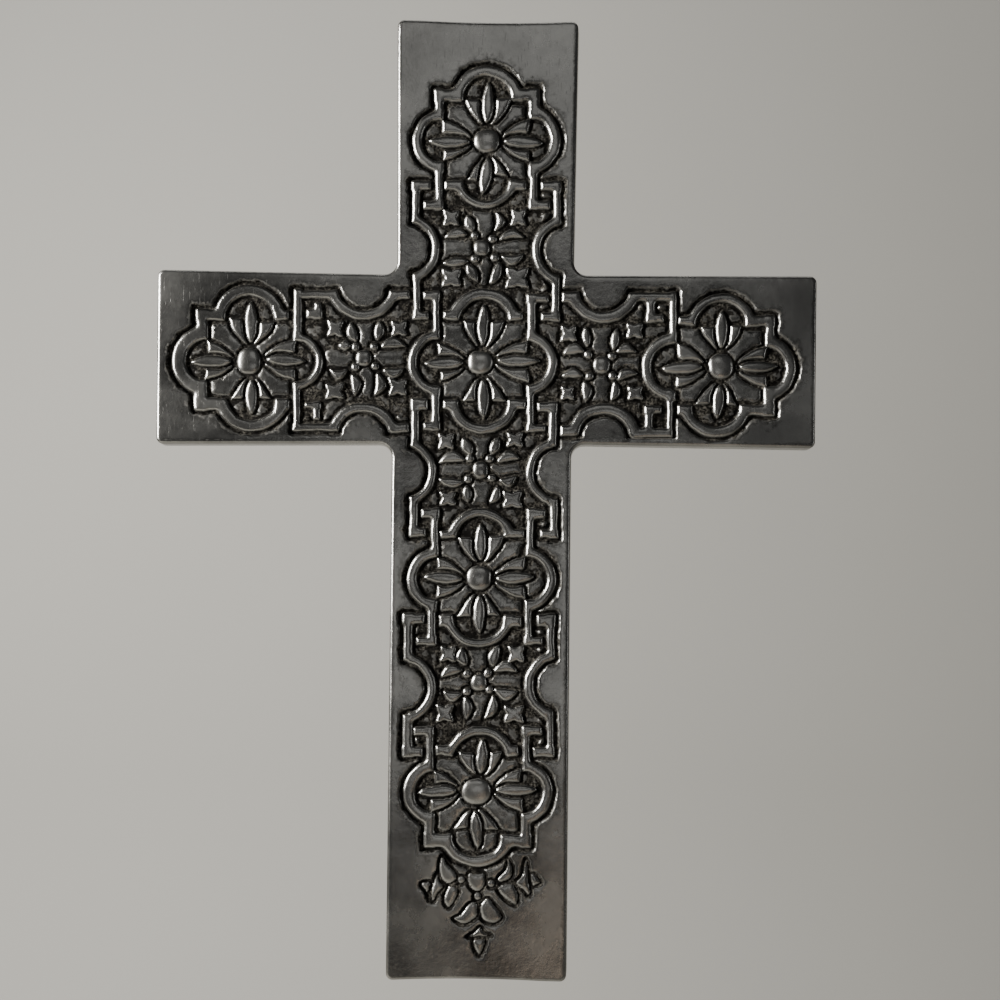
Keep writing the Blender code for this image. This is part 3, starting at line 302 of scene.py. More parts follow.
# The spray under the foot medallion, from that medallion's boss.
SPRAY_OUTLINES = [
    [(-35, 63), (-29, 71), (-22, 79), (-19.5, 85), (-21, 89), (-27, 92.5), (-33, 90), (-36.5, 84),
     (-37.8, 74)],
    [(-28, 93.8), (-20, 95), (-18, 99), (-20, 106), (-26, 116), (-30.5, 114.5), (-33, 108), (-31.5, 100)],
    [(-39.5, 80.5), (-37.5, 88), (-32.5, 94), (-39, 102.5), (-42, 109), (-45, 107), (-46, 100), (-43, 88)],
    [(-56, 92.5), (-53.5, 89.8), (-46, 89.5), (-46.5, 95), (-48.5, 102), (-47.5, 108), (-51.5, 99)],
    [(31, 67), (36, 73.5), (36.6, 81), (33, 87.5), (24.5, 91), (20.5, 88), (23.5, 83), (29.5, 76)],
    [(24.5, 93), (34.5, 90.5), (38.8, 95.8), (41.6, 103.5), (39.5, 113.5), (30, 109), (23.5, 102.5),
     (20.5, 96.5)],
    [(49, 66), (51.8, 73), (52, 86), (53.5, 95), (54.5, 101.5), (51, 104), (47, 99), (38, 91), (45.5, 82),
     (47, 74)],
    [(54, 81.5), (59, 82.5), (62, 86.5), (65, 91), (60, 93), (56, 94.5), (54, 89)],
    [(-3.5, 109.5), (1, 112), (1.4, 122), (-3, 128), (-11, 132.5), (-18, 131), (-24, 126.5), (-15.5, 121),
     (-10, 112.5)],
    [(4, 112), (8, 107), (12.5, 106.5), (17, 111.5), (23.5, 119), (26.5, 125), (23, 130), (15, 131.5),
     (7, 129), (3.8, 122)],
    [(3.3, 134), (8, 140), (15, 143), (8, 145.2), (2.2, 144.5), (-4, 145.8), (-10, 144.5), (-3.2, 140)],
    [(-3, 147.5), (3, 147), (9, 147.5), (8.5, 153), (4, 163), (1.5, 163), (-3, 155)],
]
SPRAY_BOSS = [
    (-9, 81.5), (-3, 81), (3, 81), (9, 81.5), (8.6, 93), (4.5, 99), (0, 100.5), (-5.5, 98), (-9, 92)
]
SPRAY_BEADS = [(-15.5, 88), (14.8, 91.9), (1, 104.6)]
SPRAY_GROOVE = 1.4
SPRAY_DEPTH = 0.75

# Irregularities of the hand-cut pattern, in modules.
WOBBLE = 0.55
WOBBLE_SCALE = 17
FINE_WOBBLE = 0.42
FINE_WOBBLE_SCALE = 7
RAGGED = 1.15
RAGGED_FROM = (0.9, 3.5)  # no raggedness nearer a band than the first, and all of it from the second

# Layers of noise: amount, scale in modules and seed. Those of the ragged walls are shares of RAGGED.
NOISE_CELLS = 256
RAGGED_LAYERS = [(0.6, 4.5, 3), (0.4, 2.2, 4)]
HOLLOW_LAYERS = [(0.17, 5.5, 12), (0.07, 2.1, 13)]
GROUND_LAYERS = [(0.05, 3.2, 9), (0.04, 1.4, 10)]
BORDER_LAYERS = [(0.015, 30, 5), (-0.012, 9, 6)]
BORDER_LEVEL = -0.012
SPRAY_LAYERS = [(0.2, 5, 7)]

# Camera: the photo's frame is 300 mm wide at the border plane, seen from 350 mm in front of it.
FRAME_WIDTH = 300.0
CAMERA_DISTANCE = 350.0
CAMERA_AIM = (6.43, -41.33)
SENSOR = 36.0
BACKDROP_DISTANCE = 900.0
PALE = (0.36, 0.352, 0.325, 1.0)

METAL_DARK = (0.21, 0.207, 0.195, 1.0)
METAL_LIGHT = (0.34, 0.335, 0.315, 1.0)
# The near-black colour of the recesses: oxide and painted shade.
OXIDE_AND_SHADE_DARK = (0.0025, 0.0021, 0.0016, 1.0)
OXIDE_LIGHT = (0.115, 0.107, 0.09, 1.0)

# A raised shape: half is the width of its rounding, and cut is the petal that it stops short of.
Pillow = namedtuple("Pillow", "outline half top blunt cut", defaults=(None,))


def crossing_point(first, second):
    """Where two lines meet. A line is (point, direction)."""
    (p, d), (q, e) = first, second
    cross = d[0] * e[1] - d[1] * e[0]
    along = ((q[0] - p[0]) * e[1] - (q[1] - p[1]) * e[0]) / cross
    return (p[0] + along * d[0], p[1] + along * d[1])


def limb_lines(limb, axis, side, inset):
    """The two edges and the end of a limb that points along axis, moved in by inset."""
    slope = (limb.end_width - limb.root_width) / 2 / (limb.reach - ROOT_AT)

    def at(along, across):
        return (axis[0] * along + side[0] * across, axis[1] * along + side[1] * across)

    edges = []
    for sign in (1, -1):
        edge = limb.sideways + sign * (limb.root_width / 2 - inset)
        edges.append((at(ROOT_AT, edge), at(1, sign * slope)))
    return edges[0], (at(limb.reach - inset, limb.sideways), side), edges[1]


def rounded_corner(before, corner, after, radius):
    """Points of the arc that rounds a corner."""
    first = (Vector(before) - Vector(corner)).normalized()
    last = (Vector(after) - Vector(corner)).normalized()
    half = first.angle(last) / 2
    centre = Vector(corner) + (first + last).normalized() * radius / sin(half)
    start = Vector(corner) + first * radius * cos(half) / sin(half) - centre
    end = Vector(corner) + last * radius * cos(half) / sin(half) - centre
    turn = pi - 2 * half
    points = []
    for step in range(CORNER_STEPS + 1):
        share = step / CORNER_STEPS
        points.append(tuple(centre + (start * sin((1 - share) * turn) + end * sin(share * turn)) / sin(turn)))
    return points


def slab_outline(inset):
    """The cross's outline, counter-clockwise in X and Z. Every inset gives the same number of points."""
    right, up, left, down = (1, 0), (0, 1), (-1, 0), (0, -1)
    limbs = [(HEAD, up, right), (LEFT_ARM, left, up), (FOOT, down, right), (RIGHT_ARM, right, up)]
    lines = []
    for limb, axis, side in limbs:
        ordered = limb_lines(limb, axis, side, inset)
        lines += ordered if axis[0] * side[1] - axis[1] * side[0] < 0 else ordered[::-1]
    corners = [crossing_point(lines[i - 1], lines[i]) for i in range(len(lines))]
    points = []
    for i, corner in enumerate(corners):
        radius = INNER_RADIUS + inset if i % 3 == 0 else max(CORNER_RADIUS - inset, LEAST_RADIUS)
        after = corners[(i + 1) % len(corners)]
        limb, axis, _ = limbs[i // 3]
        points += rounded_corner(corners[i - 1], corner, after, radius)
        points += side_points(points[-1], after, axis, limb, i % 3 == 1)
    return np.array(points)


def side_points(start, corner, axis, limb, is_end):
    """Points along one side, up to short of the next corner. A limb's end is hollowed by its bow."""
    count = ceil((limb.root_width if is_end else limb.reach - limb.root_width / 2) / SEGMENT)
    stop = Vector(corner) + (Vector(start) - Vector(corner)).normalized() * (CORNER_RADIUS + INNER_RADIUS)
    points = []
    for step in range(1, count):
        share = step / count
        hollow = limb.bow * (1 - (2 * share - 1) ** 2) if is_end else 0.0
        spot = Vector(start).lerp(stop, share) - Vector(axis) * hollow
        points.append(tuple(spot))
    return points


def leaned(points):
    """Across and down to X and Z or the other way round, as the drawing leans a little on the slab."""
    first, second = points.T
    along = first * cos(DRAWING_TILT) + second * sin(DRAWING_TILT)
    return np.column_stack([along, first * sin(DRAWING_TILT) - second * cos(DRAWING_TILT)])


def smooth_noise(points, scale, seed):
    """Soft noise between -1 and 1 that varies over about scale modules."""
    lattice = np.random.default_rng(seed).uniform(-1, 1, (NOISE_CELLS, NOISE_CELLS))
    at = points / scale + 1000.0
    cell = np.floor(at).astype(int)
    share = at - cell
    share = share * share * (3 - 2 * share)
    u, v = share.T
    i, j = cell.T % NOISE_CELLS
    k, l = (i + 1) % NOISE_CELLS, (j + 1) % NOISE_CELLS
    low = lattice[i, j] * (1 - u) + lattice[k, j] * u
    high = lattice[i, l] * (1 - u) + lattice[k, l] * u
    return low * (1 - v) + high * v


def wobbled(points):
    """Drawing points shifted a little, as the hand-cut outlines are."""
    slow = [smooth_noise(points, WOBBLE_SCALE, 1), smooth_noise(points, WOBBLE_SCALE, 2)]
    fine = [smooth_noise(points, FINE_WOBBLE_SCALE, 15), smooth_noise(points, FINE_WOBBLE_SCALE, 16)]
    return points + WOBBLE * np.column_stack(slow) + FINE_WOBBLE * np.column_stack(fine)


def layered(points, base, layers):
    """Layers of noise on top of a base."""
    for amount, scale, seed in layers:
        base = base + amount * smooth_noise(points, scale, seed)
    return base


def smoothstep(low, high, values):
    share = np.clip((values - low) / (high - low), 0, 1)
    return share * share * (3 - 2 * share)


def outline_distance(points, outline):
    """Distance from each point to an outline, negative inside it."""
    nearest = np.full(len(points), np.inf)
    inside = np.zeros(len(points), bool)
    for start, end in zip(outline, np.roll(outline, -1, axis=0)):
        edge = end - start
        offset = points - start
        share = np.clip(offset @ edge / max(edge @ edge, 1e-12), 0, 1)
        nearest = np.minimum(nearest, np.hypot(*(offset - share[:, None] * edge).T))
        crosses = (start[1] > points[:, 1]) != (end[1] > points[:, 1])
        rise = end[1] - start[1]
        at = start[0] + (points[:, 1] - start[1]) / (rise if rise else 1.0) * edge[0]
        inside ^= crosses & (points[:, 0] < at)
    return np.where(inside, -nearest, nearest)


def box_middle(box, place=(0, 0)):
    """The middle of a box and half its size."""
    corners = np.reshape(box, (2, 2)) + place
    return corners.mean(axis=0), np.abs(corners[1] - corners[0]) / 2


def bar_distance(box, place=(0, 0)):
    """Distance to a box, its middle and its reach."""
    middle, half = box_middle(box, place)

    def distance(points):
        out = np.abs(points - middle) - half + BAR_ROUNDING
        outside = np.hypot(*np.maximum(out, 0).T)
        return outside + np.minimum(out.max(axis=1), 0) - BAR_ROUNDING

    return distance, middle, hypot(*half)


def lobe_middle(lobe, place):
    return placed((lobe.across, lobe.down), place)


def lobes_of(motif):
    return [lobe for lobes, _ in motif.straps for lobe in lobes]


def arc_distance(lobe, place):
    """Distance to a lobe's curved band, its middle and its reach."""
    middle = lobe_middle(lobe, place)
    radius = (lobe.inside + lobe.outside) / 2
    half = (lobe.outside - lobe.inside) / 2
    facing = radians(FACING[lobe.facing])
    spread = radians(lobe.spread)

    def distance(points):
        offset = points - middle
        angle = np.arctan2(-offset[:, 1], offset[:, 0])
        off = np.abs((angle - facing + pi) % (2 * pi) - pi)
        length = np.hypot(*offset.T)
        across = np.abs(length - radius) - half
        beyond = length * np.sin(np.clip(off - spread, 0, pi / 2))
        past = np.where(off - spread > 0, np.maximum(beyond, 0.0), -length * (spread - off))
        out = np.column_stack([across, past])
        return np.hypot(*np.maximum(out, 0).T) + np.minimum(out.max(axis=1), 0)

    return distance, middle, lobe.outside


def leaf_outline(start, end, width, bend=0.0, blunt=0.25, fullness=0.3):
    """A leaf with a rounded base. Its middle line bends sideways, and fullness blunts both its ends."""
    start, end = np.array([start, end], float)
    along = end - start
    across = np.array([along[1], -along[0]]) / np.hypot(*along)
    sides = ([], [])
    for share in np.linspace(0, 1, 9):
        spot = start + along * share + across * bend * 4 * share * (1 - share)
        full = sin(pi * share**0.85) ** (1 - fullness) if 0 < share < 1 else 0.0
        half = width / 2 * max(full, blunt * (1 - share / 0.3) if share < 0.3 else 0.0)
        sides[0].append(spot + across * half)
        sides[1].append(spot - across * half)
    return np.array(sides[0] + sides[1][-2::-1])


def flared_outline(start, end, tip, curl):
    """A lily-like petal beside the middle one, from the boss out to its tip."""
    start, end, tip = np.array([start, end, tip], float)
    along = (end - start) / np.hypot(*(end - start))
    side = np.array([-along[1], along[0]])
    if (tip - start) @ side < 0:
        side = -side
    out = (tip - start) @ along
    off = (tip - start) @ side
    outer = [(share, 0.34 + 0.64 * share + curl * sin(pi * share)) for share in (0.0, 0.2, 0.42, 0.64, 0.86)]
    inner = [(0.98, 0.4), (0.85, 0.3), (0.6, 0.2), (0.3, 0.12), (-0.02, 0.06)]
    shares = [(-0.07, 0.2), *outer, (1.02, 1.02), *inner]
    return np.array([start + along * out * a + side * off * b for a, b in shares])


def star_outline(box):
    """A star with four points at the corners of a box, and hollow sides."""
    middle, half = box_middle(box)
    points = []
    for corner in range(4):
        angle = pi / 4 + corner * pi / 2
        for turn, share in ((0.0, 1.38), (pi / 8, 0.97), (pi / 4, 0.72), (3 * pi / 8, 0.97)):
            points.append(middle + half * (cos(angle + turn) * share, sin(angle + turn) * share))
    return np.array(points)


def smoothed(outline):
    """A closed outline with two more points on a smooth curve between each pair."""
    points = np.array(outline, float)
    before, after, beyond = (np.roll(points, shift, axis=0) for shift in (1, -1, -2))
    found = []
    for t in (0.0, 1 / 3, 2 / 3):
        bent = (after - before) * t
        bent += (2 * before - 5 * points + 4 * after - beyond) * t**2
        bent += (3 * points - before - 3 * after + beyond) * t**3
        found.append(points + bent / 2)
    return np.stack(found, axis=1).reshape(-1, 2)


def placed(points, place):
    return np.asarray(points, float) + np.array(place, float)


def band_straps():
    """Every strap, as a list of pieces: a distance function, its middle and its reach."""
    straps = []
    for motif in [*MEDALLIONS.values(), *PANELS.values()]:
        for lobes, bars in motif.straps:
            arcs = [arc_distance(lobe, motif.place) for lobe in lobes]
            straps.append(arcs + [bar_distance(box, motif.place) for box in bars])
    return straps + [bracket_pieces(*bracket) for bracket in BRACKETS]


def bracket_lobe(sizes):
    """A bracket's arc, which faces the panel's boss."""
    return Lobe("right" if sizes[0] < 0 else "left", *sizes, BRACKET_SPREAD)


def bracket_pieces(upper, lower, panel, top_hook, top_width, arc, foot_width, foot_hook):
    """Hook, post, arc, post and hook, from the upper medallion to the lower one."""
    upper, lower = MEDALLIONS[upper].place, MEDALLIONS[lower].place
    boss = PANELS[panel].place
    lobe = bracket_lobe(arc)
    inward = 1 if lobe.across < 0 else -1
    reach = lobe.inside * sin(radians(BRACKET_SPREAD)) + POST_GAP
    above, below = upper[0] + top_hook[0], lower[0] + foot_hook[0]
    middle = boss[1] + lobe.down
    return [
        bar_distance(top_hook, upper),
        bar_distance((above, upper[1] + top_hook[1], above + inward * top_width, middle - reach)),
        arc_distance(lobe, boss),
        bar_distance((below, middle + reach, below + inward * foot_width, lower[1] + foot_hook[3])),
        bar_distance(foot_hook, lower),
    ]


def raised_outlines():
    """The petals of the medallions, and the leaves and stars of the panels."""
    shapes = []
    for medallion in MEDALLIONS.values():
        for start, end, *tips in medallion.petals:
            middle = placed(leaf_outline(start, end, PETAL_WIDTH, fullness=PETAL_FULLNESS), medallion.place)
            shapes.append(Pillow(middle, *PETAL))
            for tip in tips:
                curl = LOWER_CURL if end[1] > PETAL_ROOM else CURL
                petal = placed(flared_outline(start, end, tip, curl), medallion.place)
                shapes.append(Pillow(petal, *FLARED_PETAL, middle))
    for panel in PANELS.values():
        for start, end, width, bend in panel.leaves:
            leaf = placed(leaf_outline(start, end, width, bend), panel.place)
            shapes.append(Pillow(leaf, *LEAF))
        for box in panel.stars:
            shapes.append(Pillow(placed(star_outline(box), panel.place), *STAR))
    return shapes


def spray_outlines():
    foot = MEDALLIONS["foot"].place
    shapes = [Pillow(placed(smoothed(outline), foot), *PETAL) for outline in SPRAY_OUTLINES]
    return shapes + [Pillow(placed(smoothed(SPRAY_BOSS), foot), *SPRAY_MIDDLE)]


def domes():
    """Bosses and beads: middle, half width, half height, top."""
    found = [(medallion.place, *medallion.boss, BOSS_TOP) for medallion in MEDALLIONS.values()]
    for panel in PANELS.values():
        found.append((panel.place, *panel.boss, PANEL_BOSS_TOP))
        found += beads_at(panel.beads, panel.place)
    return found


def beads_at(beads, place):
    return [(placed(bead, place), BEAD_RADIUS, BEAD_RADIUS, BEAD_TOP) for bead in beads]


def blended(first, second):
    """The nearer of two distances, with the inner corner between them filled."""
    share = np.maximum(FILLET - np.abs(first - second), 0) / FILLET
    return np.minimum(first, second) - share * share * FILLET / 4


def pillow_distance(points, pillow):
    """Distance to a raised shape, negative inside it."""
    distance = outline_distance(points, pillow.outline)
    if pillow.cut is None:
        return distance
    return np.maximum(distance, PETAL_GAP - outline_distance(points, pillow.cut))


def near(points, middle, reach):
    """The numbers of the points within reach of a place."""
    return np.nonzero(np.hypot(*(points - middle).T) < reach)[0]


def distances_near(points, pieces, margin):
    """For each piece with points near it, their numbers and their distances."""
    for distance, middle, reach in pieces:
        rows = near(points, middle, reach + margin)
        if len(rows):
            yield rows, distance(points[rows])


def near_pillow(points, pillow, margin):
    middle = pillow.outline.mean(axis=0)
    return near(points, middle, np.hypot(*(pillow.outline - middle).T).max() + margin)


class Relief:
    """The carved front as distances and heights at any point of the drawing."""

    def __init__(self):
        self.straps = band_straps()
        self.raised = raised_outlines()
        self.spray = spray_outlines()
        self.domes = domes()
        self.spray_beads = beads_at(SPRAY_BEADS, MEDALLIONS["foot"].place)
        self.fills = self.ground_fills()
        self.plates = self.ground_plates()

    def ground_fills(self):
        """The sunk ground inside the bands: boxes and discs."""
        fills = []
        for medallion in MEDALLIONS.values():
            fills.append(bar_distance(MEDALLION_FILL, medallion.place))
            for lobe in lobes_of(medallion):
                radius = (lobe.inside + lobe.outside) / 2
                fills.append(self.disc_distance(lobe_middle(lobe, medallion.place), radius))
        for upper, lower, panel, *_ in BRACKETS[::2]:
            top = MEDALLIONS[upper].place[1] + FILL_OVERLAP
            foot = MEDALLIONS[lower].place[1] - FILL_OVERLAP
            across = PANELS[panel].place[0]
            fills.append(bar_distance((across - SHAFT_FILL, top, across + SHAFT_FILL, foot)))
        for first, last, panel in (("left", "centre", "west"), ("centre", "right", "east")):
            left = MEDALLIONS[first].place[0] + FILL_OVERLAP
            right = MEDALLIONS[last].place[0] - FILL_OVERLAP
            down = PANELS[panel].place[1]
            fills.append(bar_distance((left, down - ARM_FILL[0], right, down + ARM_FILL[1])))
        return fills

    def ground_plates(self):
        """The flat plates behind the flowers: a square in each medallion, a plain cross in each panel.

        Two lunes have a plate as well.
        """
        plates = [(bar_distance(PLATE, m.place), MEDALLION_GROUND) for m in MEDALLIONS.values()]
        for name, box in LUNE_PLATES:
            plates.append((bar_distance(box, MEDALLIONS[name].place), PANEL_GROUND))
        for panel in PANELS.values():
            plates += [(bar_distance(box, panel.place), PANEL_GROUND) for box in PANEL_PLATES]
        return plates

    def disc_distance(self, middle, radius):
        def distance(points):
            return np.hypot(*(points - middle).T) - radius

        return distance, middle, radius

    def cuts(self):
        """The discs beside the panels where the border comes in between the bands."""
        lobes = [(bracket_lobe(arc), PANELS[panel].place) for _, _, panel, _, _, arc, _, _ in BRACKETS]
        lobes += [(lobe, panel.place) for panel in PANELS.values() for lobe in lobes_of(panel)]
        return [(lobe_middle(lobe, place), lobe.inside - CUT_INSET) for lobe, place in lobes]

    def distances(self, points):
        """Distances to bands, raised shapes, domes and the spray, and the gap to the plain border."""
        bands = np.full(len(points), FAR)
        for pieces in self.straps:
            strap = np.full(len(points), FAR)
            for rows, distance in distances_near(points, pieces, BAND_SEARCH):
                strap[rows] = blended(strap[rows], distance)
            bands = np.minimum(bands, strap)
        motifs = self.motif_distance(points, self.raised, self.domes)
        spray = self.motif_distance(points, self.spray, self.spray_beads)
        gap = np.full(len(points), FAR)
        for rows, distance in distances_near(points, self.fills, BAND_SEARCH):
            gap[rows] = np.minimum(gap[rows], distance)
        for middle, radius in self.cuts():
            rows = near(points, middle, radius)
            gap[rows] = np.maximum(gap[rows], radius - np.hypot(*(points[rows] - middle).T))
        gap = np.minimum(gap, bands - BAND_GAP)
        return bands, motifs, spray, gap

    def motif_distance(self, points, shapes, domed):
        """Distance to the nearest raised shape or dome."""
        found = np.full(len(points), FAR)
        for pillow in shapes:
            rows = near_pillow(points, pillow, MOTIF_SEARCH)
            if len(rows):
                found[rows] = np.minimum(found[rows], pillow_distance(points[rows], pillow))
        for middle, width, height, _ in domed:
            rows = near(points, middle, width + MOTIF_SEARCH)
            out = np.hypot(*((points[rows] - middle) / (width, height)).T)
            found[rows] = np.minimum(found[rows], (out - 1) * width)
        return found

    def pillows(self, points, height, shapes, domed):
        """Raises petals, leaves, bosses and beads over the ground."""
        for pillow in shapes:
            rows = near_pillow(points, pillow, 2)
            if not len(rows):
                continue
            inside = -pillow_distance(points[rows], pillow)
            share = np.clip(inside / pillow.half, 0, 1)
            rounding = (1 - (1 - share) ** pillow.blunt) ** (1 / pillow.blunt)
            rise = -GROOVE_DEPTH + (GROOVE_DEPTH + pillow.top) * rounding
            height[rows] = np.where(inside > 0, np.maximum(height[rows], rise), height[rows])
        for middle, width, tall, top in domed:
            rows = near(points, middle, width + 1)
            offset = np.abs(points[rows] - middle) / (width, tall)
            out = (offset**DOME_SQUARENESS).sum(axis=1) ** (1 / DOME_SQUARENESS)
            rise = -GROOVE_DEPTH + (GROOVE_DEPTH + top) * (1 - np.clip(out, 0, 1) ** DOME_BLUNT) ** (1 / 2)
            height[rows] = np.where(out < 1, np.maximum(height[rows], rise), height[rows])
        return height

    def height(self, points):
        """Height over the border plane in millimetres, and how much dark oxide and painted shade lies there.
        """
        warped = wobbled(points)
        bands, motifs, spray, gap = self.distances(warped)
        ragged = RAGGED * layered(points, 0.0, RAGGED_LAYERS)
        gap = gap + np.where(bands > BAND_FOOT, ragged * smoothstep(*RAGGED_FROM, bands), 0)
        ground = self.ground(warped, bands, motifs)
        rim = smoothstep(-WALL_WIDTH, 0.3, gap)
        height = ground * (1 - rim) + layered(points, BORDER_LEVEL, BORDER_LAYERS) * rim
        height -= layered(points, SPRAY_DEPTH, SPRAY_LAYERS) * self.spray_groove(spray)
        band_top = np.interp(bands, *BAND_PROFILE) - BAND_UNEVEN * (1 + smooth_noise(points, 12, 8))
        height = np.where(bands < BAND_FOOT, np.maximum(height, band_top), height)
        height = self.pillows(warped, height, self.raised + self.spray, self.domes + self.spray_beads)
        return height, self.oxide_and_shade(points, height, bands, motifs, spray, gap)

    def spray_groove(self, spray):
        """1 under the spray and at its outlines, easing to 0 outward."""
        return np.exp(-((np.clip(spray, 0, 20) / SPRAY_GROOVE) ** 2)) * (spray < 20)

    def ground(self, points, bands, motifs):
        """The sunk ground: deep beside each shape, with flat plates and rough hollows between them."""
        room = np.minimum(bands - BAND_FOOT, motifs)
        level = layered(points, HOLLOW_GROUND, HOLLOW_LAYERS)
        for (distance, middle, reach), depth in self.plates:
            rows = near(points, middle, reach + 3)
            share = smoothstep(1.2, -1.2, distance(points[rows]))
            level[rows] += (depth - level[rows]) * share
        rough = layered(points, 0.0, GROUND_LAYERS)
        return -GROOVE_DEPTH + (level + GROOVE_DEPTH + rough) * smoothstep(*GROOVE_REACH, room)

    def oxide_and_shade(self, points, height, bands, motifs, spray, gap):
        """0 on rubbed metal, 1 in the dark recesses, where oxide and painted shade are laid."""
        # Darker the deeper: oxide in the recesses and painted shade.
        depth = np.interp(-height, *OXIDE_AND_SHADE_BY_DEPTH)
        blotch = 0.5 + 0.5 * smooth_noise(points, 7, 11)
        pits = smoothstep(0.35, 0.75, smooth_noise(points, 2.4, 14)) * np.exp(-np.clip(gap, 0, 60) / 11)
        halo = np.maximum((0.2 + 0.6 * blotch) * np.exp(-np.clip(gap, 0, 60) / 4.2), 0.6 * pits) * (gap > 0)
        # Oxide and painted shade along the spray's outlines, and painted shade on the slopes round them,
        # darkening their lit rims.
        line = smoothstep(3.0, 1.4, np.abs(spray - 0.5))
        spray_shade = np.maximum(line, 0.45 * np.exp(-np.clip(spray, 0, 40) / 2.6)) * (spray > -1.2)
        # Painted shade on the outer walls of the bands, darkening their reflection.
        wall = (0.35 + 0.5 * blotch) * np.exp(-(((gap + 1.0) / 1.6) ** 2)) * (bands > BAND_FOOT)
        return np.clip(np.maximum.reduce([depth, halo, spray_shade, wall]), 0, 1)

    def edges(self, points):
        """Distance to the nearest edge of the carving, where the mesh is finest."""
        bands, motifs, spray, gap = self.distances(points)
        crown = np.abs(bands + 0.4)
        wall = np.where(bands > 0.5, np.abs(gap + 0.8), FAR)
        return np.minimum.reduce([crown, np.abs(motifs + 0.5), np.abs(spray), wall])


def split_cells(relief, outline):
    """The front's square cells as (size, columns, rows), fine where the carving has an edge."""
    low = np.floor(outline.min(axis=0) / LARGEST_CELL).astype(int)
    high = np.ceil(outline.max(axis=0) / LARGEST_CELL).astype(int)
    corners = (np.argwhere(np.ones(high - low)) + low) * LARGEST_CELL
    cells = []
    size = LARGEST_CELL
    while size > 1:
        room = -outline_distance(corners + size / 2, outline)
        inside = room > size * HALF_DIAGONAL + MARGIN
        crossing = ~inside & (room > -size * HALF_DIAGONAL) & (size > RIM_CELL)
        near_edge = relief.edges((corners + size / 2) * CELL_STEP) / CELL_STEP
        close = inside & (near_edge < size * HALF_DIAGONAL + FINE_REACH[size])
        cells.append((size, corners[inside & ~close]))
        half = size // 2
        steps = np.array([(0, 0), (half, 0), (0, half), (half, half)])
        corners = (corners[close | crossing][:, None, :] + steps).reshape(-1, 2)
        size = half
    cells.append((1, corners))
    return cells


def front_cells(relief, outline):
    """Points in modules and triangles of the cells, with no gaps where sizes meet."""
    cells = split_cells(relief, outline)
    every = np.concatenate([c for _, c in cells])
    low = every.min(axis=0)
    span = every.max(axis=0) - low + LARGEST_CELL + 1
    used = np.zeros(span, bool)
    for size, corners in cells:
        for step in ((0, 0), (size, 0), (size, size), (0, size)):
            at = corners - low + step
            used[at[:, 0], at[:, 1]] = True
    number = np.full(span, -1)
    number[used] = np.arange(used.sum())
    points = (np.argwhere(used) + low).astype(float)
    extra = []
    triangles = []
    for size, corners in cells:
        for across, down in corners - low:
            ring = cell_ring(number, across, down, size)
            if len(ring) == 4:
                a, b, c, d = ring if (across // size + down // size) % 2 else ring[1:] + ring[:1]
                triangles += [(a, b, c), (a, c, d)]
            else:
                centre = len(points) + len(extra)
                extra.append((across + low[0] + size / 2, down + low[1] + size / 2))
                triangles += [(ring[i - 1], ring[i], centre) for i in range(len(ring))]
    return np.concatenate([points, np.array(extra)]), np.array(triangles)


def cell_ring(number, across, down, size):
    """The used lattice points round a cell, counter-clockwise in across and down."""
    sides = [
        number[across : across + size, down],
        number[across + size, down : down + size],
        number[across + size : across : -1, down + size],
        number[across, down + size : down : -1],
    ]
    return [int(i) for i in np.concatenate(sides) if i >= 0]


def snapped(relief, points, movable):
    """Points that lie near a crease are moved onto it, so that edges run clean."""
    moved = points.copy()
    step = 0.05
    shifts = ((0, 0), (step, 0), (-step, 0), (0, step), (0, -step))
    fields = [relief.distances(wobbled(points + shift)) for shift in shifts]
    best = np.full(len(points), SNAP_REACH)
    for which, creases in enumerate([(BAND_SHOULDER, BAND_FOOT), (0.0,), (0.0,)]):
        value = fields[0][which]
        sideways = (fields[1][which] - fields[2][which]) / (2 * step)
        downward = (fields[3][which] - fields[4][which]) / (2 * step)
        slope = np.column_stack([sideways, downward])
        steep = np.maximum(np.hypot(*slope.T), LEAST_SLOPE)
        for crease in creases:
            off = (crease - value) / steep
            take = movable & (np.abs(off) < best) & (steep > LEAST_SLOPE)
            moved[take] = points[take] + slope[take] / steep[take][:, None] * off[take][:, None]
            best[take] = np.abs(off[take])
    return moved


def boundary_loop(triangles):
    """The vertices round a patch of triangles, in order."""
    ends = np.concatenate([triangles[:, [0, 1]], triangles[:, [1, 2]], triangles[:, [2, 0]]])
    keys = ends[:, 0].astype(np.int64) * 10_000_000 + ends[:, 1]
    back = ends[:, 1].astype(np.int64) * 10_000_000 + ends[:, 0]
    single = ends[~np.isin(keys, back)]
    following = {int(a): int(b) for a, b in single}
    loop = [int(single[0, 0])]
    while following[loop[-1]] != loop[0]:
        loop.append(following[loop[-1]])
    return loop


def edge_rings():
    """The insets and depths of the rings from the front round the edge and down the side to the back."""
    angles = pi / 2 * np.arange(1, EDGE_STEPS + 1) / EDGE_STEPS
    rings = [(SIDE_DRAFT + EDGE_RADIUS * (1 - sin(a)), EDGE_RADIUS * (1 - cos(a))) for a in angles]
    foot = THICKNESS - BACK_CHAMFER
    for share in np.arange(1, SIDE_STEPS + 1) / SIDE_STEPS:
        rings.append((SIDE_DRAFT * (1 - share), EDGE_RADIUS + (foot - EDGE_RADIUS) * share))
    rings.append((BACK_CHAMFER * 0.3, THICKNESS - BACK_CHAMFER * 0.3))
    rings.append((BACK_CHAMFER, THICKNESS))
    return rings


def right_and_lower_edge_shade(edge):
    """Painted shade where the rounding starts, on the sides that face right and down, away from the key
    light.
    """
    along = np.roll(edge, -1, axis=0) - np.roll(edge, 1, axis=0)
    outward = np.column_stack([along[:, 1], -along[:, 0]]) / np.hypot(*along.T)[:, None]
    return list(np.clip(outward @ EDGE_PAINTED_SHADE, 0, 1))


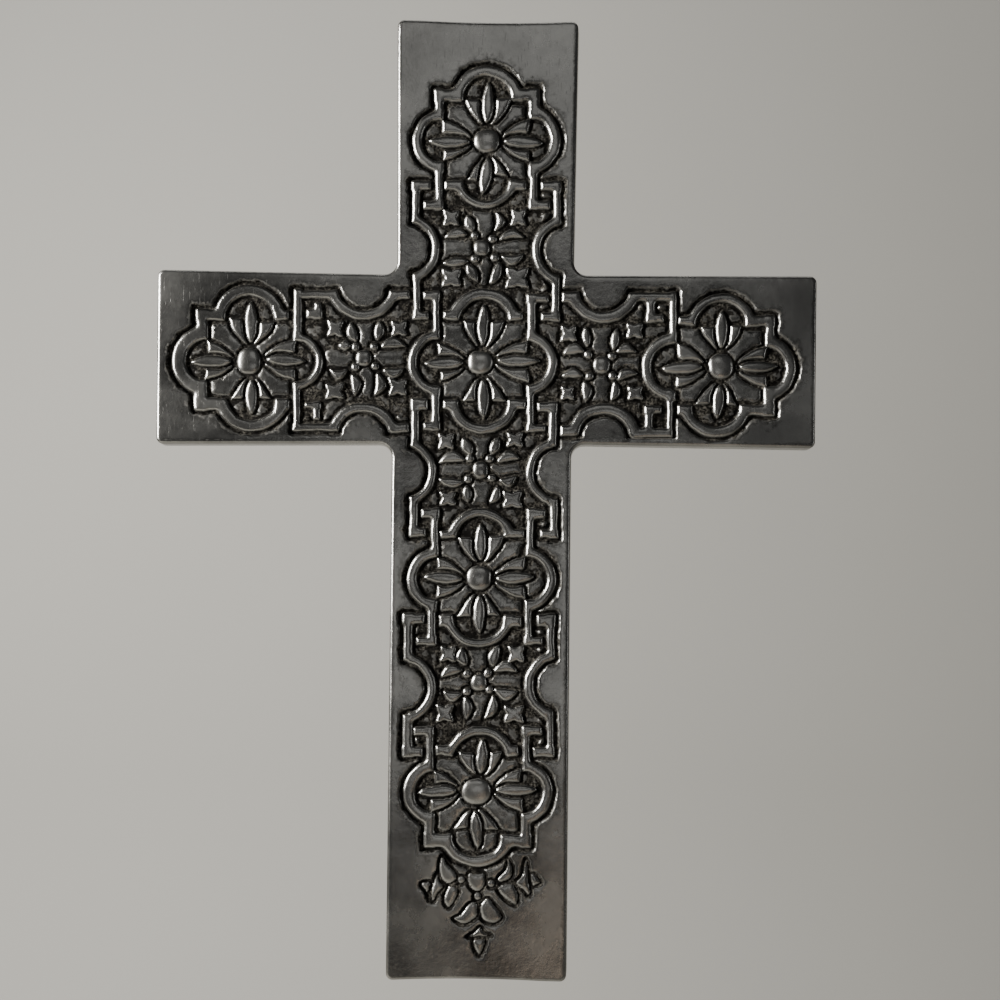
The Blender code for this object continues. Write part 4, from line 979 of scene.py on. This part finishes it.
def outline_faces(outer, inner):
    """Triangles between two loops, by number: the outer loop's points, then the inner's."""
    points = [Vector(p) for p in outer] + [Vector(p) for p in inner]
    faces = [list(range(len(outer))), list(range(len(outer), len(points)))]
    _, _, triangles, sources, _, owners = delaunay_2d_cdt(points, [], faces, 0, 1e-5)
    first = [min(s) for s in sources]
    return [[first[i] for i in t] for t, owner in zip(triangles, owners) if list(owner) == [0]]


def build_cross():
    """The whole casting as one closed mesh, with the oxide and painted shade as an attribute."""
    relief = Relief()
    edge = slab_outline(EDGE_RADIUS + SIDE_DRAFT)
    drawn = leaned(edge / MODULE)[::-1]
    grid, triangles = front_cells(relief, drawn / CELL_STEP)
    grid *= CELL_STEP
    triangles = triangles[:, ::-1]
    loop = boundary_loop(triangles)
    movable = np.ones(len(grid), bool)
    movable[loop] = False
    grid = snapped(relief, grid, movable)
    height, oxide_and_shade = relief.height(grid)
    flat = leaned(grid * MODULE)
    vertices = [(x, -THICKNESS - h, z) for (x, z), h in zip(flat, height)]
    faces = triangles.tolist()
    first = len(vertices)
    vertices += [(x, -THICKNESS, z) for x, z in edge]
    oxide_and_shade[loop] = 0.0
    # Painted shade along the right and lower edges.
    oxide_and_shade = list(oxide_and_shade) + right_and_lower_edge_shade(edge)
    previous = list(range(first, first + len(edge)))
    names = previous + loop
    faces += [tuple(names[i] for i in t) for t in outline_faces(edge, flat[loop])]
    for inset, down in edge_rings():
        ring = slab_outline(inset)
        current = list(range(len(vertices), len(vertices) + len(ring)))
        vertices += [(x, down - THICKNESS, z) for x, z in ring]
        oxide_and_shade += [0.0] * len(ring)
        for i in range(len(ring)):
            faces.append((previous[i], previous[i - 1], current[i - 1], current[i]))
        previous = current
    flat_faces = add_back(vertices, faces, oxide_and_shade, previous)
    cross = make_mesh("cross_casting", vertices, faces, oxide_and_shade)
    for number in flat_faces:
        cross.data.polygons[number].use_smooth = False
    return cross


def add_back(vertices, faces, oxide_and_shade, rim):
    """The plain back, with the nail pocket sunk into it. Gives the numbers of the faces that are flat."""
    start = len(faces)
    top = HEAD.reach - POCKET_BELOW_TOP
    angles = np.linspace(0, 2 * pi, POCKET_SIDES, endpoint=False)
    pocket = [(HEAD.sideways + POCKET_RADIUS * cos(a), top + POCKET_RADIUS * sin(a)) for a in angles]
    edge = [(vertices[i][0], vertices[i][2]) for i in rim]
    mouth = list(range(len(vertices), len(vertices) + len(pocket)))
    floor = list(range(mouth[-1] + 1, mouth[-1] + 1 + len(pocket)))
    vertices += [(x, 0.0, z) for x, z in pocket] + [(x, -POCKET_DEPTH, z) for x, z in pocket]
    # The pocket's mouth a little dark and its floor fully dark.
    oxide_and_shade += [0.2] * len(pocket) + [1.0] * len(pocket)
    names = list(rim) + mouth
    faces += [tuple(names[i] for i in t[::-1]) for t in outline_faces(edge, pocket)]
    faces.append(tuple(floor[::-1]))
    flat_faces = range(start, len(faces))
    for i in range(len(pocket)):
        faces.append((mouth[i], mouth[i - 1], floor[i - 1], floor[i]))
    return flat_faces


def added(name, data):
    """A new object in the scene."""
    thing = bpy.data.objects.new(name, data)
    bpy.context.scene.collection.objects.link(thing)
    return thing


def make_mesh(name, vertices, faces, oxide_and_shade):
    mesh = bpy.data.meshes.new(name)
    mesh.from_pydata([Vector(v) * MM for v in vertices], [], faces)
    mesh.update()
    attribute = mesh.attributes.new("oxide_and_shade", "FLOAT", "POINT")
    attribute.data.foreach_set("value", np.array(oxide_and_shade, np.float32))
    mesh.shade_smooth()
    return added(name, mesh)


class Nodes:
    """A short way to add shader nodes and link them."""

    def __init__(self, material):
        material.use_nodes = True
        self.tree = material.node_tree
        self.shader = self.tree.nodes["Principled BSDF"]

    def add(self, kind, inputs=None, **settings):
        node = self.tree.nodes.new(kind)
        for name, value in settings.items():
            setattr(node, name, value)
        for key, value in (inputs or {}).items():
            self.set(node.inputs[key], value)
        return node

    def surface(self, name, value):
        """Sets an input of the surface shader."""
        self.set(self.shader.inputs[name], value)

    def set(self, socket, value):
        if isinstance(value, bpy.types.NodeSocket):
            self.tree.links.new(value, socket)
        else:
            socket.default_value = value

    def math(self, operation, first, second=0.0):
        return self.add("ShaderNodeMath", {0: first, 1: second}, operation=operation).outputs[0]

    def noise(self, place, scale, detail=4.0, roughness=0.5):
        inputs = {"Vector": place, "Scale": scale, "Detail": detail, "Roughness": roughness}
        return self.add("ShaderNodeTexNoise", inputs).outputs["Fac"]

    def ranged(self, value, low, high, to_low=0.0, to_high=1.0):
        inputs = {"Value": value, "From Min": low, "From Max": high, "To Min": to_low, "To Max": to_high}
        return self.add("ShaderNodeMapRange", inputs).outputs["Result"]

    def mixed(self, share, first, second):
        inputs = {"Factor": share, 6: first, 7: second}
        return self.add("ShaderNodeMix", inputs, data_type="RGBA").outputs[2]


def aluminium_material():
    """Sand-cast aluminium: rubbed grey metal, dark oxide and painted shade in the recesses, pits and a
    mottled skin.
    """
    material = bpy.data.materials.new("cast_aluminium")
    nodes = Nodes(material)
    place = nodes.add("ShaderNodeTexCoord").outputs["Object"]
    oxide_and_shade = nodes.add("ShaderNodeAttribute", attribute_name="oxide_and_shade").outputs["Fac"]
    blotch = nodes.noise(place, 55, 6.0, 0.62)
    grain = nodes.noise(place, 900, 4.0, 0.6)
    speck = nodes.noise(place, 1500, 3.0, 0.7)
    patch = nodes.noise(place, 260, 4.0, 0.65)
    # How dark: the oxide and painted shade of the attribute, varied by noise.
    oxide_and_shade_amount = nodes.math("ADD", oxide_and_shade, nodes.ranged(grain, 0.3, 0.7, -0.12, 0.12))
    oxide_and_shade_amount = nodes.math("ADD", oxide_and_shade_amount, nodes.ranged(patch, 0.35, 0.65, -0.12, 0.12))
    dark = nodes.ranged(oxide_and_shade_amount, 0.12, 0.72)
    metal = nodes.mixed(nodes.ranged(blotch, 0.35, 0.65), METAL_DARK, METAL_LIGHT)
    flecks = nodes.math("MULTIPLY", nodes.ranged(speck, 0.45, 0.75), nodes.ranged(patch, 0.42, 0.6))
    # The colour of the dark places, oxide and painted shade, with lighter flecks.
    crust_and_shade = nodes.mixed(flecks, OXIDE_AND_SHADE_DARK, OXIDE_LIGHT)
    nodes.surface("Base Color", nodes.mixed(dark, metal, crust_and_shade))
    nodes.surface("Metallic", nodes.ranged(dark, 0.6, 1, 1.0, 0.0))
    nodes.surface("Specular IOR Level", nodes.ranged(dark, 0, 1, 0.5, 0.06))
    satin = nodes.ranged(blotch, 0.3, 0.7, 0.22, 0.3)
    rough = nodes.math("ADD", satin, nodes.ranged(dark, 0.4, 1, 0.0, 0.45))
    nodes.surface("Roughness", rough)
    turned = {"Vector": place, "Rotation": (0, 0.25, 0), "Scale": (12, 1, 1)}
    streaks = nodes.noise(nodes.add("ShaderNodeMapping", turned).outputs[0], 230, 2.0)
    scratch = nodes.ranged(streaks, 0.66, 0.72, 0.0, -0.12)
    skin = nodes.math("ADD", nodes.math("MULTIPLY", patch, 0.6), nodes.math("MULTIPLY", grain, 0.4))
    skin = nodes.math("ADD", skin, scratch)
    bump = nodes.add("ShaderNodeBump", {"Height": skin, "Strength": 0.3, "Distance": 0.0004})
    nodes.surface("Normal", bump.outputs["Normal"])
    return material


def plain_material(name, colour, roughness):
    material = bpy.data.materials.new(name)
    nodes = Nodes(material)
    place = nodes.add("ShaderNodeTexCoord").outputs["Object"]
    shade = nodes.noise(place, 3.0)
    darker = tuple(c * 0.94 for c in colour[:3]) + (1.0,)
    nodes.surface("Base Color", nodes.mixed(shade, darker, colour))
    nodes.surface("Roughness", roughness)
    return material


def add_backdrop():
    """A pale floor that sweeps up into a wall, well behind the cross."""
    floor = -700.0
    profile = [(-900, floor), (BACKDROP_DISTANCE * 0.6, floor)]
    sweep = BACKDROP_DISTANCE * 0.4
    for angle in np.linspace(0, pi / 2, 9)[1:]:
        profile.append((BACKDROP_DISTANCE * 0.6 + sweep * sin(angle), floor + sweep * (1 - cos(angle))))
    profile.append((BACKDROP_DISTANCE, 1500))
    vertices = [(x * MM, y * MM, z * MM) for y, z in profile for x in (-2500, 2500)]
    faces = [(2 * i, 2 * i + 1, 2 * i + 3, 2 * i + 2) for i in range(len(profile) - 1)]
    mesh = bpy.data.meshes.new("backdrop")
    mesh.from_pydata(vertices, [], faces)
    mesh.shade_smooth()
    backdrop = added("backdrop", mesh)
    backdrop.data.materials.append(plain_material("pale_paper", PALE, 0.8))
    backdrop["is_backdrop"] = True


def add_light(name, place, aim, size, power, colour=(1, 1, 1)):
    data = bpy.data.lights.new(name, "AREA")
    data.shape = "RECTANGLE"
    data.size, data.size_y = (s * MM for s in size)
    data.energy, data.color = power, colour
    light = added(name, data)
    light.location = Vector(place) * MM
    direction = Vector(aim) - Vector(place)
    light.rotation_euler = direction.to_track_quat("-Z", "Y").to_euler()


def add_lights():
    add_light("key", (-1000, -405, 200), (0, 0, -50), (210, 580), 55, (1.0, 0.98, 0.95))
    add_light("over_head", (30, -800, 400), (0, 0, 60), (420, 380), 0.3)
    add_light("shaft_front", (20, -800, -170), (0, 0, -60), (320, 260), 0.19)
    add_light("right_arm_front", (320, -800, 90), (90, 0, 0), (200, 220), 0.02)
    add_light("right_rim", (760, -230, -60), (0, 0, -60), (80, 500), 0.4)
    add_light("low_front", (180, -800, -560), (0, 0, -120), (260, 200), 0.16, (1.0, 0.78, 0.6))
    add_light("wall_wash", (0, 150, 1400), (0, 900, 0), (1600, 300), 3.8)
    world = bpy.data.worlds.new("studio")
    world.use_nodes = True
    background = world.node_tree.nodes["Background"]
    background.inputs["Color"].default_value = (0.55, 0.56, 0.57, 1)
    background.inputs["Strength"].default_value = 0.1
    bpy.context.scene.world = world


def add_camera():
    data = bpy.data.cameras.new("camera")
    data.sensor_width = SENSOR
    data.angle = 2 * atan(FRAME_WIDTH / 2 / CAMERA_DISTANCE)
    camera = added("camera", data)
    camera.location = Vector((CAMERA_AIM[0], -THICKNESS - CAMERA_DISTANCE, CAMERA_AIM[1])) * MM
    camera.rotation_euler = (pi / 2, -DRAWING_TILT, 0)
    bpy.context.scene.camera = camera


def corners(bounds):
    return [[float(v) for v in corner] for corner in bounds]


def main():
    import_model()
    solid_box = corners(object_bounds())
    cross = build_cross()
    cross.data.materials.append(aluminium_material())
    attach(cross, "root")
    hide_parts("cross")
    add_backdrop()
    add_lights()
    add_camera()
    print("triangles", sum(len(p.vertices) - 2 for p in cross.data.polygons))
    {"cad": solid_box, "visual": corners(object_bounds())}


main()
